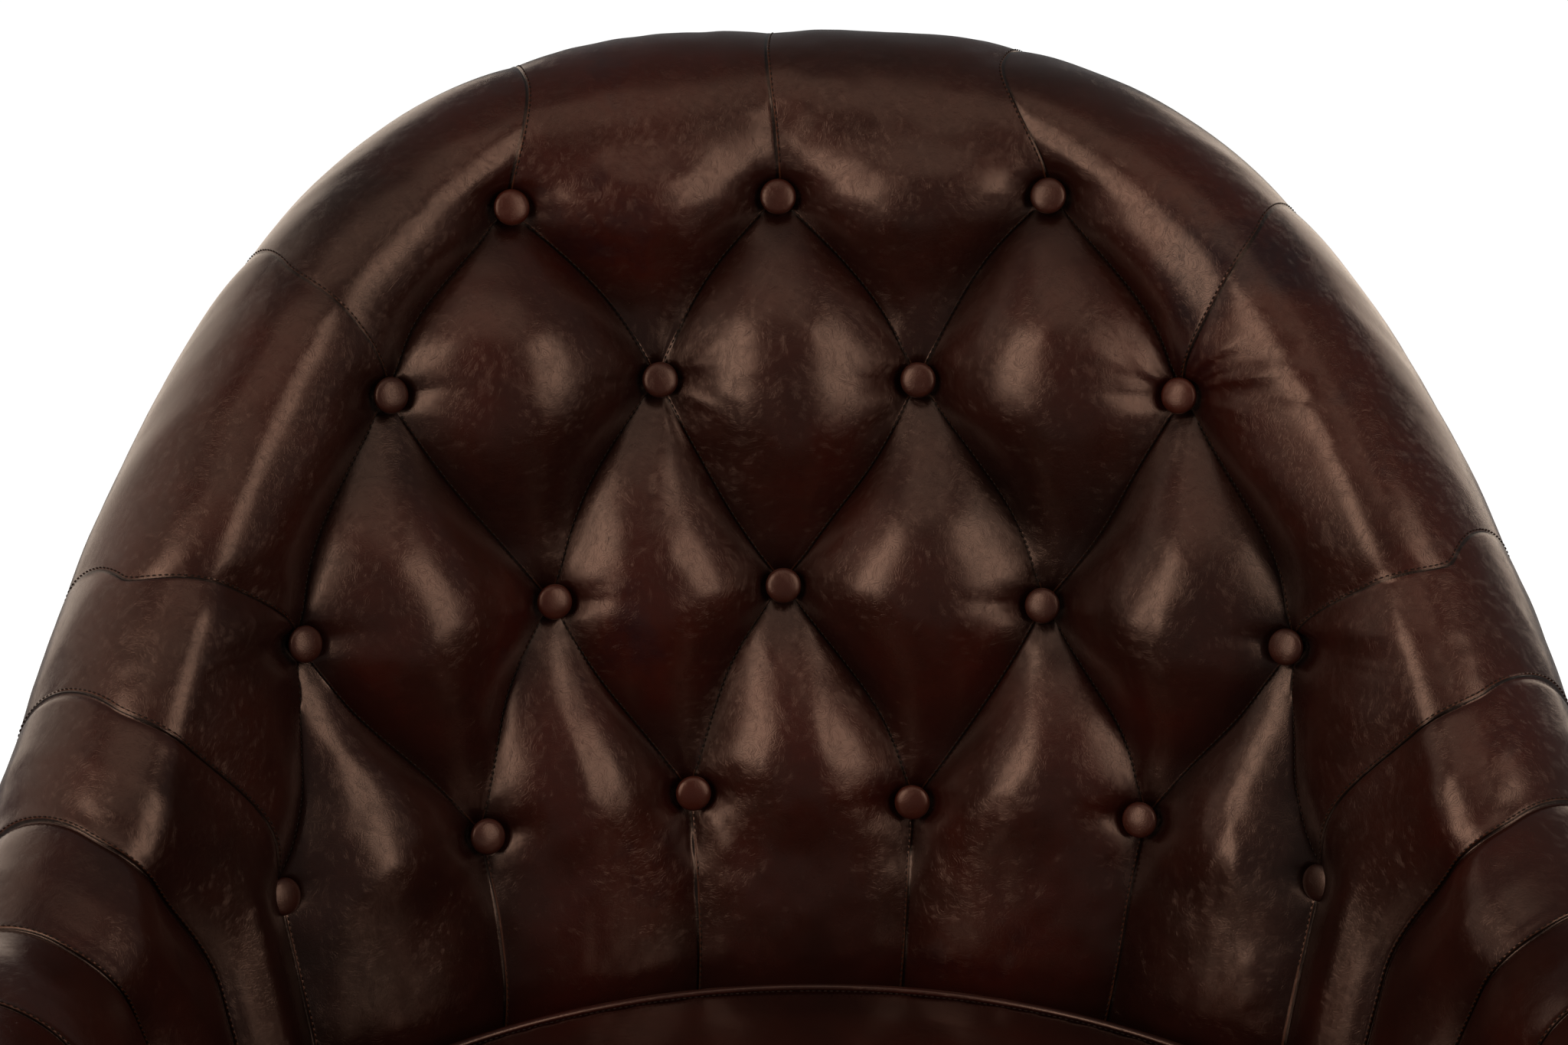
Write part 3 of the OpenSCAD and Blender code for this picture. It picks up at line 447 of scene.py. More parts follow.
BEECH_TONES = [(0.35, "#b98d5e"), (0.6, "#cfa877"), (0.8, "#dcbb90")]
STAIN_TONES = [(0.35, "#170b07"), (0.6, "#2c160d"), (0.8, "#3d2114")]
beech_across, beech_deep, beech_upright = (
    wood("beech_" + way, along, BEECH_TONES, 0.6)
    for along, way in enumerate(("across", "front_to_back", "upright")))
stained_beech = wood("walnut_stained_beech", 2, STAIN_TONES, 0.34, coat=0.4)
spring_steel = metal("oil_tempered_wire", "#4a4c50", 0.42, 0.0004)
zinc_steel = metal("zinc_plated_steel", "#a6a8ab", 0.36, 0.0006)
hessian, webbing, deck_cloth, cambric = (
    cloth(name, list(zip((0.35, 0.65, 0.9), codes)), spacing, sheen)
    for name, codes, spacing, sheen in (
        ("jute_hessian", ("#6b5233", "#9c7d52", "#c0a578"), 0.0018, 0.1),
        ("jute_webbing", ("#5d4a30", "#8a7048", "#a98e62"), 0.0022, 0.1),
        ("deck_twill", ("#150d0b", "#261814", "#33231d"), 0.0009, 0.3),
        ("black_cambric", ("#0b0b0c", "#17171a", "#232327"), 0.0008, 0.2)))
panel_board, foam, nylon = (
    moulded(name, list(zip((0.3, 0.7), codes)), cell, gloss) for name, codes, cell, gloss in (
        ("grey_board", ("#6f5a43", "#8d7657"), 0.0012, 0.85),
        ("cut_foam", ("#cfc6a8", "#e5dec6"), 0.0016, 0.9),
        ("moulded_nylon", ("#15120f", "#241f1b"), 0.0008, 0.45)))
seam_thread = thread("brown_thread", "#1b100c")
print("materials:", len(bpy.data.materials))

# %% [markdown]
# Meshes are made from arrays of points. The helpers below turn points into a piece, make a tube
# along a line, a sheet between two nets, or fill a flat outline with an even net of triangles.

# %% Mesh helpers
def make_piece(name, points, faces, material):
    """A smooth-shaded mesh object from points in millimetres."""
    mesh = bpy.data.meshes.new(name)
    mesh.from_pydata((np.asarray(points) * MM).tolist(), [], [tuple(f) for f in faces])
    mesh.polygons.foreach_set("use_smooth", np.ones(len(mesh.polygons), bool))
    mesh.materials.append(material)
    mesh.update()
    piece = bpy.data.objects.new(name, mesh)
    bpy.context.scene.collection.objects.link(piece)
    return piece


def set_values(piece, **fields):
    """Stores one number for each point of a piece, for its material to read."""
    for name, values in fields.items():
        store = piece.data.attributes.new(name, "FLOAT", "POINT")
        store.data.foreach_set("value", np.ascontiguousarray(values, dtype=np.float32))


def settle(piece, body="chair", stands_for=()):
    """Makes a piece ride on its body and hides the model's pieces that it stands for."""
    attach(piece, body)
    if stands_for:
        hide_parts(*stands_for)
    low, high = np.array([corner[:] for corner in piece.bound_box])[[0, 6]]
    print(piece.name, len(piece.data.polygons), "faces,", np.round((high - low) / MM, 0), "mm")


def from_modifiers(piece):
    """Turns what a piece's modifiers make into its own mesh."""
    graph = bpy.context.evaluated_depsgraph_get()
    made = bpy.data.meshes.new_from_object(piece.evaluated_get(graph), depsgraph=graph)
    piece.modifiers.clear()
    piece.data = made
    return made


def outward(piece):
    """Turns the faces of a closed mesh outwards."""
    net = bmesh.new()
    net.from_mesh(piece.data)
    bmesh.ops.recalc_face_normals(net, faces=net.faces)
    net.to_mesh(piece.data)
    net.free()
    return piece


def crisp(piece):
    """Keeps the corners of a piece sharp and the rest of it smooth."""
    piece.data.set_sharp_from_angle(angle=math.radians(50))
    return piece


def unit(v):
    return v / np.maximum(np.linalg.norm(v, axis=-1, keepdims=True), 1e-9)


def grid_normals(p):
    return unit(np.cross(np.gradient(p, axis=1), np.gradient(p, axis=0)))


def run_of(line):
    """How far along a line each of its points lies."""
    return np.concatenate([[0], np.cumsum(np.linalg.norm(np.diff(line, axis=0), axis=1))])


def points_at(at, run, line):
    """The points of a line at some distances from its start."""
    return np.stack([np.interp(at, run, values) for values in line.T], axis=1)


def quads(rings, n, first=0, closed=False):
    """Faces between rings of n points each, numbered from a first point."""
    return [(first + r * n + s, first + r * n + (s + 1) % n,
             first + (r + 1) % rings * n + (s + 1) % n, first + (r + 1) % rings * n + s)
            for r in range(rings if closed else rings - 1) for s in range(n)]


def tube(name, line, radius, sides, material, closed=False):
    """A round tube along a line, closed on itself or with flat ends."""
    n = len(line)
    before, after = (np.roll(line, 1, 0), np.roll(line, -1, 0)) if closed else (
        line[[0, *range(n - 1)]], line[[*range(1, n), n - 1]])
    along = unit(after - before)
    across = np.cross(along[0], (0, 0, 1) if abs(along[0][2]) < 0.9 else (1, 0, 0))
    turns = np.arange(sides) / sides * math.tau
    rings = []
    for point, way in zip(line, along):
        across = unit(across - way * np.dot(across, way))
        rings.append(point + radius * (np.outer(np.cos(turns), across)
                                       + np.outer(np.sin(turns), np.cross(way, across))))
    faces = quads(n, sides, closed=closed)
    if not closed:
        faces += [tuple(range(sides))[::-1], tuple((n - 1) * sides + s for s in range(sides))]
    return outward(make_piece(name, np.concatenate(rings), faces, material))


def sheet_between(name, outer, inner, material):
    """A closed sheet between two nets of points [rows, columns, 3]."""
    net = np.concatenate([outer, inner[::-1]])
    n, width = net.shape[:2]
    faces = quads(width, n)
    for base in (0, (width - 1) * n):
        faces += [(base + j, base + j + 1, base + n - 2 - j, base + n - 1 - j)
                  for j in range(n // 2 - 1)]
    return crisp(outward(make_piece(name, net.transpose(1, 0, 2).reshape(-1, 3), faces, material)))


def edge_distance(points, loop):
    """Distance of each point to a closed loop."""
    a, b = loop, np.roll(loop, -1, 0)
    span = b - a
    share = np.clip(((points[:, None] - a) * span).sum(-1) / (span ** 2).sum(-1), 0, 1)
    return np.linalg.norm(points[:, None] - a - share[..., None] * span, axis=-1).min(1)


def is_inside(points, loop):
    """Whether each point lies inside a closed loop, by crossings to its right."""
    x, y = points[:, 0, None], points[:, 1, None]
    (ax, ay), (bx, by) = loop.T, np.roll(loop, -1, 0).T
    crosses = ((ay > y) != (by > y)) & (x < (bx - ax) * (y - ay) / (by - ay + 1e-12) + ax)
    return crosses.sum(1) % 2 == 1


def slab(name, loops, net, insets, heights, material, place):
    """A flat piece with a crowned upper face. loops are its outline and holes, heights gives the
    levels of its two faces at a distance from the edge, and place puts its points in space."""
    outline, *holes = loops
    inward = unit((np.roll(outline, -1, 0) - np.roll(outline, 1, 0))[:, ::-1] * (-1, 1))
    free = []
    for inset in insets:
        ring = outline + inward * inset
        free.append(ring[is_inside(ring, outline) & (edge_distance(ring, outline) > inset * 0.9)])
    low, high = outline.min(0), outline.max(0)
    lattice = np.array([(x + (i % 2) * net / 2, y)
                        for i, y in enumerate(np.arange(low[1], high[1], net * 0.87))
                        for x in np.arange(low[0], high[0], net)])
    clear = is_inside(lattice, outline) & (edge_distance(lattice, outline) > max(insets) + net * 0.5)
    for hole in holes:
        clear &= ~is_inside(lattice, hole) & (edge_distance(lattice, hole) > net * 0.4)
    edges, start = [], 0
    for loop in loops:
        edges += [(start + i, start + (i + 1) % len(loop)) for i in range(len(loop))]
        start += len(loop)
    made = delaunay_2d_cdt([Vector(p) for p in np.concatenate([*loops, *free, lattice[clear]])],
                           edges, [], 0, 1e-6)
    flat, triangles = np.array([tuple(v) for v in made[0]]), np.array(made[2])
    middle = flat[triangles].mean(1)
    keep = is_inside(middle, outline)
    for hole in holes:
        keep &= ~is_inside(middle, hole)
    triangles = triangles[keep]
    upper, lower = heights(flat, np.min([edge_distance(flat, loop) for loop in loops], axis=0))
    n = len(flat)
    rims = {edge: True for a, b, c in triangles for edge in ((a, b), (b, c), (c, a))}
    faces = [tuple(t) for t in triangles] + [tuple(t[::-1] + n) for t in triangles]
    faces += [(b, a, a + n, b + n) for a, b in rims if (b, a) not in rims]
    points = np.concatenate([place(flat, upper), place(flat, lower)])
    return crisp(outward(make_piece(name, points, faces, material)))


# %% [markdown]
# Buttons and stitches are one small shape repeated over many places. Geometry Nodes put a copy
# on each point, turned by two directions that the points carry, and the result becomes a plain
# mesh, because loose instances don't survive an export.

# %% A node tree that repeats a shape on points
repeat_tree = bpy.data.node_groups.new("repeat_on_points", "GeometryNodeTree")
sockets = {}
for socket_name, direction, kind in (
        ("Points", "INPUT", "NodeSocketGeometry"), ("Shape", "INPUT", "NodeSocketObject"),
        ("Finish", "INPUT", "NodeSocketMaterial"), ("Pieces", "OUTPUT", "NodeSocketGeometry")):
    made_socket = repeat_tree.interface.new_socket(socket_name, in_out=direction, socket_type=kind)
    sockets[socket_name] = made_socket.identifier
entry = add(repeat_tree, "NodeGroupInput").outputs
along, out_of = (add(repeat_tree, "GeometryNodeInputNamedAttribute", {"Name": field},
                     data_type="FLOAT_VECTOR").outputs[0] for field in ("along", "outward"))
stand = add(repeat_tree, "FunctionNodeAlignRotationToVector", {"Vector": out_of}, axis="Z")
aimed = add(repeat_tree, "FunctionNodeAlignRotationToVector",
            {"Rotation": stand.outputs[0], "Vector": along}, axis="X", pivot_axis="Z")
shape = add(repeat_tree, "GeometryNodeObjectInfo", {"Object": entry["Shape"], "As Instance": True})
copies = add(repeat_tree, "GeometryNodeInstanceOnPoints", {
    "Points": entry["Points"], "Instance": shape.outputs["Geometry"], "Rotation": aimed.outputs[0]})
real = add(repeat_tree, "GeometryNodeRealizeInstances", {0: copies.outputs[0]})
finished = add(repeat_tree, "GeometryNodeSetMaterial",
               {"Geometry": real.outputs[0], "Material": entry["Finish"]})
add(repeat_tree, "NodeGroupOutput", {0: finished.outputs[0]})


def repeat(name, shape_mesh, places, alongs, outs, finish):
    """Copies of a mesh on places in millimetres, as one plain mesh piece."""
    motif = bpy.data.objects.new(name + "_motif", shape_mesh)
    bpy.context.scene.collection.objects.link(motif)
    piece = make_piece(name, places, [], finish)
    for field, values in (("along", alongs), ("outward", outs)):
        store = piece.data.attributes.new(field, "FLOAT_VECTOR", "POINT")
        store.data.foreach_set("vector", np.asarray(values, np.float32).ravel())
    modifier = piece.modifiers.new("repeat", "NODES")
    modifier.node_group = repeat_tree
    modifier[sockets["Shape"]] = motif
    modifier[sockets["Finish"]] = finish
    made = from_modifiers(piece)
    made.name = name
    made.polygons.foreach_set("use_smooth", np.ones(len(made.polygons), bool))
    bpy.data.objects.remove(motif)
    return piece


def turned_mesh(name, profile, sides):
    """A closed turned shape from a profile of (radius, height) in millimetres, ends at radius 0."""
    turns = np.arange(sides) / sides * math.tau
    rings = [(r * math.cos(t), r * math.sin(t), z) for r, z in profile[1:-1] for t in turns]
    points = [(0, 0, profile[0][1]), *rings, (0, 0, profile[-1][1])]
    last = len(points) - 1
    faces = [(0, 1 + (s + 1) % sides, 1 + s) for s in range(sides)]
    faces += quads(len(profile) - 2, sides, first=1)
    faces += [(last, last - sides + s, last - sides + (s + 1) % sides) for s in range(sides)]
    mesh = bpy.data.meshes.new(name)
    mesh.from_pydata([[c * MM for c in p] for p in points], [], faces)
    return mesh


# One machine stitch lies 1.8 mm long in a 2.6 mm pitch, sunk a little into the leather
STITCH_PITCH, STITCH_LONG, STITCH_THICK = 2.6, 1.8, 0.7
STITCH_BESIDE, STITCH_RAISED = 1.5, 0.2
stitch_mesh = turned_mesh("stitch", [(0, -0.5), (0.38, -0.32), (0.5, 0), (0.38, 0.32), (0, 0.5)], 6)
stitch_points = np.array([v.co for v in stitch_mesh.vertices])
stitch_mesh.vertices.foreach_set("co", (stitch_points[:, [2, 1, 0]] * (
    STITCH_LONG, STITCH_THICK, STITCH_THICK * 0.8)).astype(np.float32).ravel())
stitches = {"chair": [], "cushion": []}


def sew(line, lip, outs, beside=STITCH_BESIDE, body="chair"):
    """Places stitches along a line, a distance beside it towards lip."""
    line = line + unit(lip) * beside
    run = run_of(line)
    at = np.arange(STITCH_PITCH / 2, run[-1], STITCH_PITCH)
    if len(at) < 2:
        return
    places = points_at(at, run, line)
    stitches[body].append((places, unit(np.gradient(places, axis=0)),
                           unit(points_at(at, run, outs))))


print("repeat tree with", len(repeat_tree.nodes), "nodes")

# %% [markdown]
# ## The buttoned back
# A deep-buttoned back is one hide, marked out in diamonds that are larger than their places on
# the frame. Pulling down the buttons folds the spare leather into pleats between them, and the
# stuffing pushes each diamond out. So the surface is solved like that: a net of points is held
# down along the pleats and at the buttons, and in between it is a skin under pressure, tied
# elastically to the stuffing behind. The net's lines run through every button, and its small
# triangles are split along the pleats, so each pleat is a true crease in the mesh.

# %% The net of the buttoned back
COLUMN_ANGLE, COLUMN_MM = 19.2, 103.5
ROWS = np.array([0.923, 0.713, 0.46, 0.21]) * float(wall_length(0))
EDGE = 2.5
EDGE_ANGLE, EDGE_TURN = 46.9, 98.0    # where the back meets an arm, and where that seam turns
NET, FOOT_NET, LOW_NET, WAIST_NET, ROLL_NET = 30, 4, 8, 26, 72    # net lines in each stretch
TUCK_DOWN = -40


def rim_angle(k):
    return np.interp(k, [-2.5, -2, -1.5, -1, 0, 1, 1.5, 2, 2.5],
                     [-56, -49.5, -34.5, -17, -0.8, 15.2, 33.5, 49.5, 56])


def row_edge(n):
    return (n + 2) / 2


def column_angle(k):
    return np.interp(k, [-EDGE, -2, 2, EDGE],
                     [-EDGE_ANGLE, -2 * COLUMN_ANGLE, 2 * COLUMN_ANGLE, EDGE_ANGLE])


def turned(k, up):
    """Plan angle of a column, which fans out above the column's own top button."""
    rim = rim_angle(k)
    start = np.interp(np.abs(k), [0, 1, 1.5, 2, 2.5], [*ROWS[[0, 0, 1, 2]], EDGE_TURN])
    top = wall_length(rim) + ROLL_R
    return mix(column_angle(k), rim, smooth((up - start) / np.maximum(ROLL_R, top - start)))


def evenly(n):
    return np.arange(n + 1) / n


def bunched(n, strength=0.5):
    """Shares from 0 to 1 that lie closer together at both ends."""
    return evenly(n) - strength * np.sin(math.tau * evenly(n)) / math.tau


def chain(*runs):
    """Joins runs of values, each (from, to, shares)."""
    parts = [start + (end - start) * shares[:-1] for start, end, shares in runs]
    return np.concatenate([*parts, [runs[-1][1]]])


between = bunched(NET)
low_rows = chain((DECK_BASE - SEAT_H, TUCK_DOWN, evenly(FOOT_NET)), (TUCK_DOWN, 0, evenly(LOW_NET)),
                 (0, ROWS[3], evenly(WAIST_NET)), (ROWS[3], ROWS[2], between))
halves = int(4 * EDGE)
columns = chain(*[(i / 2 - EDGE, (i + 1) / 2 - EDGE, between) for i in range(halves)])
ups = []
for k in columns:
    end = float(skin_length(rim_angle(k)))
    by_rows = chain((ROWS[2], ROWS[1], between), (ROWS[1], ROWS[0], between),
                    (ROWS[0], max(ROWS[0], end), evenly(ROLL_NET)))
    by_steps = ROWS[2] + (end - ROWS[2]) * evenly(2 * NET + ROLL_NET)
    ups.append(np.concatenate([low_rows[:-1], mix(by_rows, by_steps, smooth(abs(k) - row_edge(1)))]))
up_net = np.array(ups).T
k_net = np.broadcast_to(columns, up_net.shape).copy()
row_at = {n: FOOT_NET + LOW_NET + WAIST_NET + (3 - n) * NET for n in range(4)}
print("net", up_net.shape, "row 4 at", round(float(up_net[row_at[3], 0]), 1))

# %% [markdown]
# An upholsterer places the buttons by eye, so each one sits some millimetres off its mark. The
# net is drawn along with them, and the shift fades out towards the arms.

# %% Each button's own shift
SHIFTS = {0: [(-0.3, -1), (-0.9, -1), (-1.5, 2.5)],
          1: [(-1.0, 4), (-0.2, -1), (-0.4, -3), (-0.2, 0)],
          2: [(-1.7, 4), (0, 0), (-0.9, 0.5), (0.7, -3), (1.7, -2)],
          3: [(0, 0), (1.5, -2), (0.6, 3), (0.6, -2.4), (1.4, 5), (0, 0)]}
SHIFT_REACH = 46.0


def set_by_hand(k, up):
    """Plan angle and distance up the wall, with the shifts of the buttons nearby."""
    weight, turn, lift = 0.02, 0.0, 0.0
    for n, shifts in SHIFTS.items():
        for (more, higher), column in zip(shifts, np.arange(-row_edge(n), row_edge(n) + 0.5)):
            gap = ((k - column) * COLUMN_MM) ** 2 + (up - ROWS[n]) ** 2
            share = np.exp(-gap / SHIFT_REACH ** 2)
            weight, turn, lift = weight + share, turn + share * more, lift + share * higher
    near_back = smooth((EDGE - np.abs(k)) / 0.4)
    return turned(k, up) + turn / weight * near_back, up + lift / weight * near_back


# %% [markdown]
# The pleats aren't straight. Between the two upper rows they bow outwards, because the leather
# hangs off the buttons, and lower down those that run to the middle bow more than the others.
# Inside each half diamond the net is bent sideways to follow its pleat.

# %% Bend the net along the pleats
BOW_TOP, BOW_INWARD, BOW_OUTWARD, BOW_EDGE = 0.13, 0.14, -0.07, -0.16
pleats = []
fold_right = np.zeros(np.array(up_net.shape) - 1, bool)
steps_in = np.arange(NET + 1)
down, over = np.meshgrid(1 - between, between, indexing="ij")
for n in range(3):
    for i in range(halves):
        left = i / 2 - EDGE
        outermost = max(abs(left), abs(left + 0.5))
        if outermost > row_edge(n + 1):
            continue
        rises = (left + row_edge(n)) % 1 != 0
        first, base = i * NET, row_at[n + 1]
        pleats.append((base + (steps_in if rises else NET - steps_in), first + steps_in, n))
        fold_right[base:base + NET, first:first + NET] = not rises
        bow = BOW_OUTWARD if (left >= 0) == rises else BOW_INWARD
        if n == 0:
            bow = BOW_TOP
        elif n == 2 and outermost == EDGE:
            bow = BOW_EDGE
        to_side = 1 - over if rises else over
        shift = bow * np.sin(math.pi * down) * np.minimum(
            to_side / np.maximum(down, 1e-6), (1 - to_side) / np.maximum(1 - down, 1e-6))
        k_net[base:base + NET + 1, first:first + NET + 1] += shift * (-0.5 if rises else 0.5)
a_net, u_net = set_by_hand(k_net, up_net)
base_points, base_out = skin(a_net, u_net)
print(len(pleats), "pleats")

# %% [markdown]
# The skin between the pleats is found by relaxation: each free point moves towards the mean of
# its neighbours and towards the bulge of the stuffing, over and over, in two interleaved halves.

# %% Solve the tufts
PLEAT_DEEP, BUTTON_DEEP, BUTTON_FLAT = 14.5, 18.5, 6.0
LOW_DEEP, RIM_DEEP, RIM_REACH = 12.5, 1.7, 17
PRESS_TUFT, PRESS_WALL = 0.030, 0.011
TIE_TUFT, TIE_WALL, TIE_ROLL = 42.0, 26.0, 15.0
SLACK_UP = 0.3    # the leather is pulled tighter across than up and down
TOP_ROW = {0: 0, 1: 0, 1.5: 1, 2: 2, 2.5: 3}    # the topmost row of buttons in each column
buttons = [(k, ROWS[n]) for n in range(4) for k in np.arange(-row_edge(n), row_edge(n) + 0.5)]
roll_share = smooth((u_net - wall_length(a_net) + 45) / 90)
tuft_edge = np.interp(up_net, ROWS[::-1], [2.5, 2.0, 1.5, 1.0])
in_tufts = smooth((tuft_edge - np.abs(k_net)) / 0.2 + 1) * smooth((up_net - ROWS[3]) / 25 + 1)
in_tufts = in_tufts * smooth((ROWS[0] + 25 - up_net) / 25)
press = mix(PRESS_WALL * (1 - roll_share) * smooth((up_net + 15) / 60), PRESS_TUFT, in_tufts)
tied = mix(mix(TIE_WALL ** -2, TIE_ROLL ** -2, roll_share), TIE_TUFT ** -2, in_tufts)


def rim_depth(up, start, deep=BUTTON_DEEP):
    """Depth of a seam that runs up from a button and dies out over the roll."""
    fade = np.exp(-np.maximum(0, up - start) / RIM_REACH)
    return RIM_DEEP + (deep - RIM_DEEP) * fade


def edge_depth(up):
    """Depth of the seam where the back meets an arm."""
    return np.where(up > ROWS[3], rim_depth(up, ROWS[3], 14.0), LOW_DEEP)


held = np.zeros(up_net.shape, bool)
depth = np.zeros(up_net.shape)
crease_runs = []
for rows, cols, n in pleats:
    wave = wander(rows * 1.0, cols * 1.0 + n * 9, 14, 7) * 0.8
    depth[rows, cols] = BUTTON_DEEP + (PLEAT_DEEP - BUTTON_DEEP) * np.minimum(
        1, np.sin(math.pi * between) * 1.8) + wave
    held[rows, cols] = True
    crease_runs.append((rows, cols, 1, 0))
# Seams run up over the roll from the topmost button of a column, and down from the lowest row
for k in np.arange(-EDGE, EDGE + 0.1, 0.5):
    col = int(round((k + EDGE) * 2)) * NET
    seams = []
    if abs(k) in TOP_ROW:
        rows = np.arange(row_at[TOP_ROW[abs(k)]], len(up_net))
        seams.append((rows, rim_depth(up_net[rows, col], ROWS[TOP_ROW[abs(k)]])))
    if (k + EDGE) % 1 == 0:
        rows = np.arange(row_at[3] + 1)
        to_button = smooth((up_net[rows, col] - ROWS[3] + 40) / 40)
        seams.append((rows, mix(LOW_DEEP, BUTTON_DEEP, to_button)))
    for rows, deep in seams:
        depth[rows, col] = deep
        held[rows, col] = True
        crease_runs.append((rows, np.full(len(rows), col), 0, -1 if k > 0 else 1))
for col in (0, -1):
    held[:, col] = True
    depth[:, col] = edge_depth(up_net[:, col])
held[-1] = True
depth[-1] = 0.6
button_gap = np.full(up_net.shape, 1e3)
for k, up in buttons:
    spot, _ = skin(*set_by_hand(np.array(k), np.array(up)))
    gap = np.linalg.norm(base_points - spot, axis=-1)
    button_gap = np.minimum(button_gap, gap)
    depth[gap < BUTTON_FLAT] = BUTTON_DEEP
    held |= gap < BUTTON_FLAT

gap_x = np.linalg.norm(np.diff(base_points, axis=1), axis=-1)
gap_y = np.linalg.norm(np.diff(base_points, axis=0), axis=-1)
cell_x = np.pad(gap_x, ((0, 0), (1, 1)), mode="edge")
cell_y = np.pad(gap_y, ((1, 1), (0, 0)), mode="edge")
span_x, span_y = (cell_x[:, 1:] + cell_x[:, :-1]) / 2, (cell_y[1:] + cell_y[:-1]) / 2
pull_right = np.pad(1 / gap_x, ((0, 0), (0, 1))) * span_y
pull_left = np.pad(1 / gap_x, ((0, 0), (1, 0))) * span_y
pull_up = np.pad(1 / gap_y, ((0, 1), (0, 0))) * span_x * SLACK_UP
pull_down = np.pad(1 / gap_y, ((1, 0), (0, 0))) * span_x * SLACK_UP
tie = span_x * span_y * tied
push = span_x * span_y * press
total = pull_right + pull_left + pull_up + pull_down + tie
parity = np.add.outer(np.arange(up_net.shape[0]), np.arange(up_net.shape[1])) % 2
free = [~held & (parity == p) for p in (0, 1)]
OVER_RELAX, ROUNDS = 1.85, 420
depth[~held] = 2.0
for _ in range(ROUNDS):
    for half in free:
        around = np.pad(depth, 1, mode="edge")
        goal = (pull_right * around[1:-1, 2:] + pull_left * around[1:-1, :-2]
                + pull_up * around[2:, 1:-1] + pull_down * around[:-2, 1:-1] - push) / total
        depth[half] += OVER_RELAX * (goal - depth)[half]
print("tufts stand", round(float(depth.min()), 1), "to", round(float(depth.max()), 1), "mm deep")

# %% [markdown]
# Leather pulled down by a button gathers in small rays, and every hide has soft dents. Both are
# added to the solved depth. Then each point is set back from the section's surface, and the
# leather above each pleat is drawn a little over it, as the fold lies in the real cover.

# %% Wrinkles, laps and the finished skin of the back
RAY_HIGH, DENT, LAP = 0.75, 0.7, 1.3
DRAG = {4: (0.85, 0.0), 6: (0.9, 1.9), 9: (0.4, 0.3), 14: (0.5, -0.6)}    # strength and direction
for number, (k, up) in enumerate(buttons):
    dx = (k_net - k) * math.radians(COLUMN_ANGLE) * (BACK_IN + up * math.sin(BACK_LEAN))
    dy = up_net - up
    r = np.hypot(dx, dy)
    turn = np.arctan2(dy, dx)
    pulled, heading = DRAG.get(number, (0.22, 1.6))
    strength = RAY_HIGH * pulled * (0.35 + 0.65 * smooth(0.5 + np.cos(turn - heading)))
    rays = wander(turn * 3.2, r * 0.05, 1, 100 + number) + wander(turn * 7, r * 0.08, 1, 60 + number)
    depth += strength * rays * np.exp(-((r - 17) / (9 + 9 * pulled)) ** 2) * (~held)
for share, size, seed in ((1, 26, 3), (0.35, 9, 4)):
    dents = wander(k_net * COLUMN_MM, up_net, size, seed) * (~held)
    depth += DENT * share * dents * np.minimum(1, button_gap / 20)
back_skin = base_points - depth[..., None] * base_out
drop = np.zeros(up_net.shape)
inner = np.minimum(1, np.sin(math.pi * between) * 2)
for rows, cols, _ in pleats:
    drop[rows, cols] = LAP * inner
    drop[rows + 1, cols] = np.maximum(drop[rows + 1, cols], LAP * 0.75 * inner)
up_way = unit(np.gradient(base_points, axis=0))
back_skin = back_skin - up_way * drop[..., None]
back_normals = grid_normals(back_skin)


def seam_fields(points, runs, reach=6.0):
    """How near each point lies to a seam, from 1 on it to 0 at reach, and on which side."""
    near = np.zeros(points.shape[:2])
    sided = np.zeros(points.shape[:2])
    span = 9
    for rows, cols, diagonal, lap in runs:
        for step in range(-span, span + 1):
            if diagonal:
                r, c = np.clip(rows + step, 0, points.shape[0] - 1), cols
            else:
                r, c = rows, np.clip(cols + step, 0, points.shape[1] - 1)
            away = points[r, c] - points[rows, cols]
            length = np.linalg.norm(away, axis=-1) * (0.72 if diagonal else 1)
            value = np.clip(1 - length / reach, 0, 1)
            better = value > near[r, c]
            near[r, c] = np.where(better, value, near[r, c])
            which = np.sign(step) * (1 if diagonal else lap)
            sided[r, c] = np.where(better, which, sided[r, c])
    return near, sided


back_near, back_over = seam_fields(back_skin, crease_runs)
# How deep each point lies in its fold, which the leather turns into painted shade and a little more
# roughness
back_hollow = np.clip((depth - 3) / 14, 0, 1)
print("lap drawn over", len(crease_runs), "seams")

# %% [markdown]
# A pad is a closed body: its skin on one side, and on the other the hollow that lies round the
# rail inside the roll. Rings of points run up the skin and back down the rear, side by side
# across the pad, and two fans of triangles close the ends.

# %% Close a skin into a pad
GROOVE_STOPS, RAIL_GROOVE = 7, 27.5


def pad_rear(a, forward=0):
    """The rear of a pad, from the deck up and round the swept rail, for one plan angle."""
    last = math.pi - lean(a) - WRAP
    turns = np.linspace(0, 1, GROOVE_STOPS + 1)[:, None] * (math.pi - last)
    rho = roll_rho(a) + RAIL_GROOVE * np.cos(math.pi - turns)
    z = roll_h(a) + RAIL_GROOVE * np.sin(math.pi - turns)
    foot = placed(a, REAR_IN + 0 * a, DECK_BASE, forward)[None]
    return np.concatenate([foot, placed(a, rho, z, forward)])


SIDES = (("right", 1), ("left", -1))


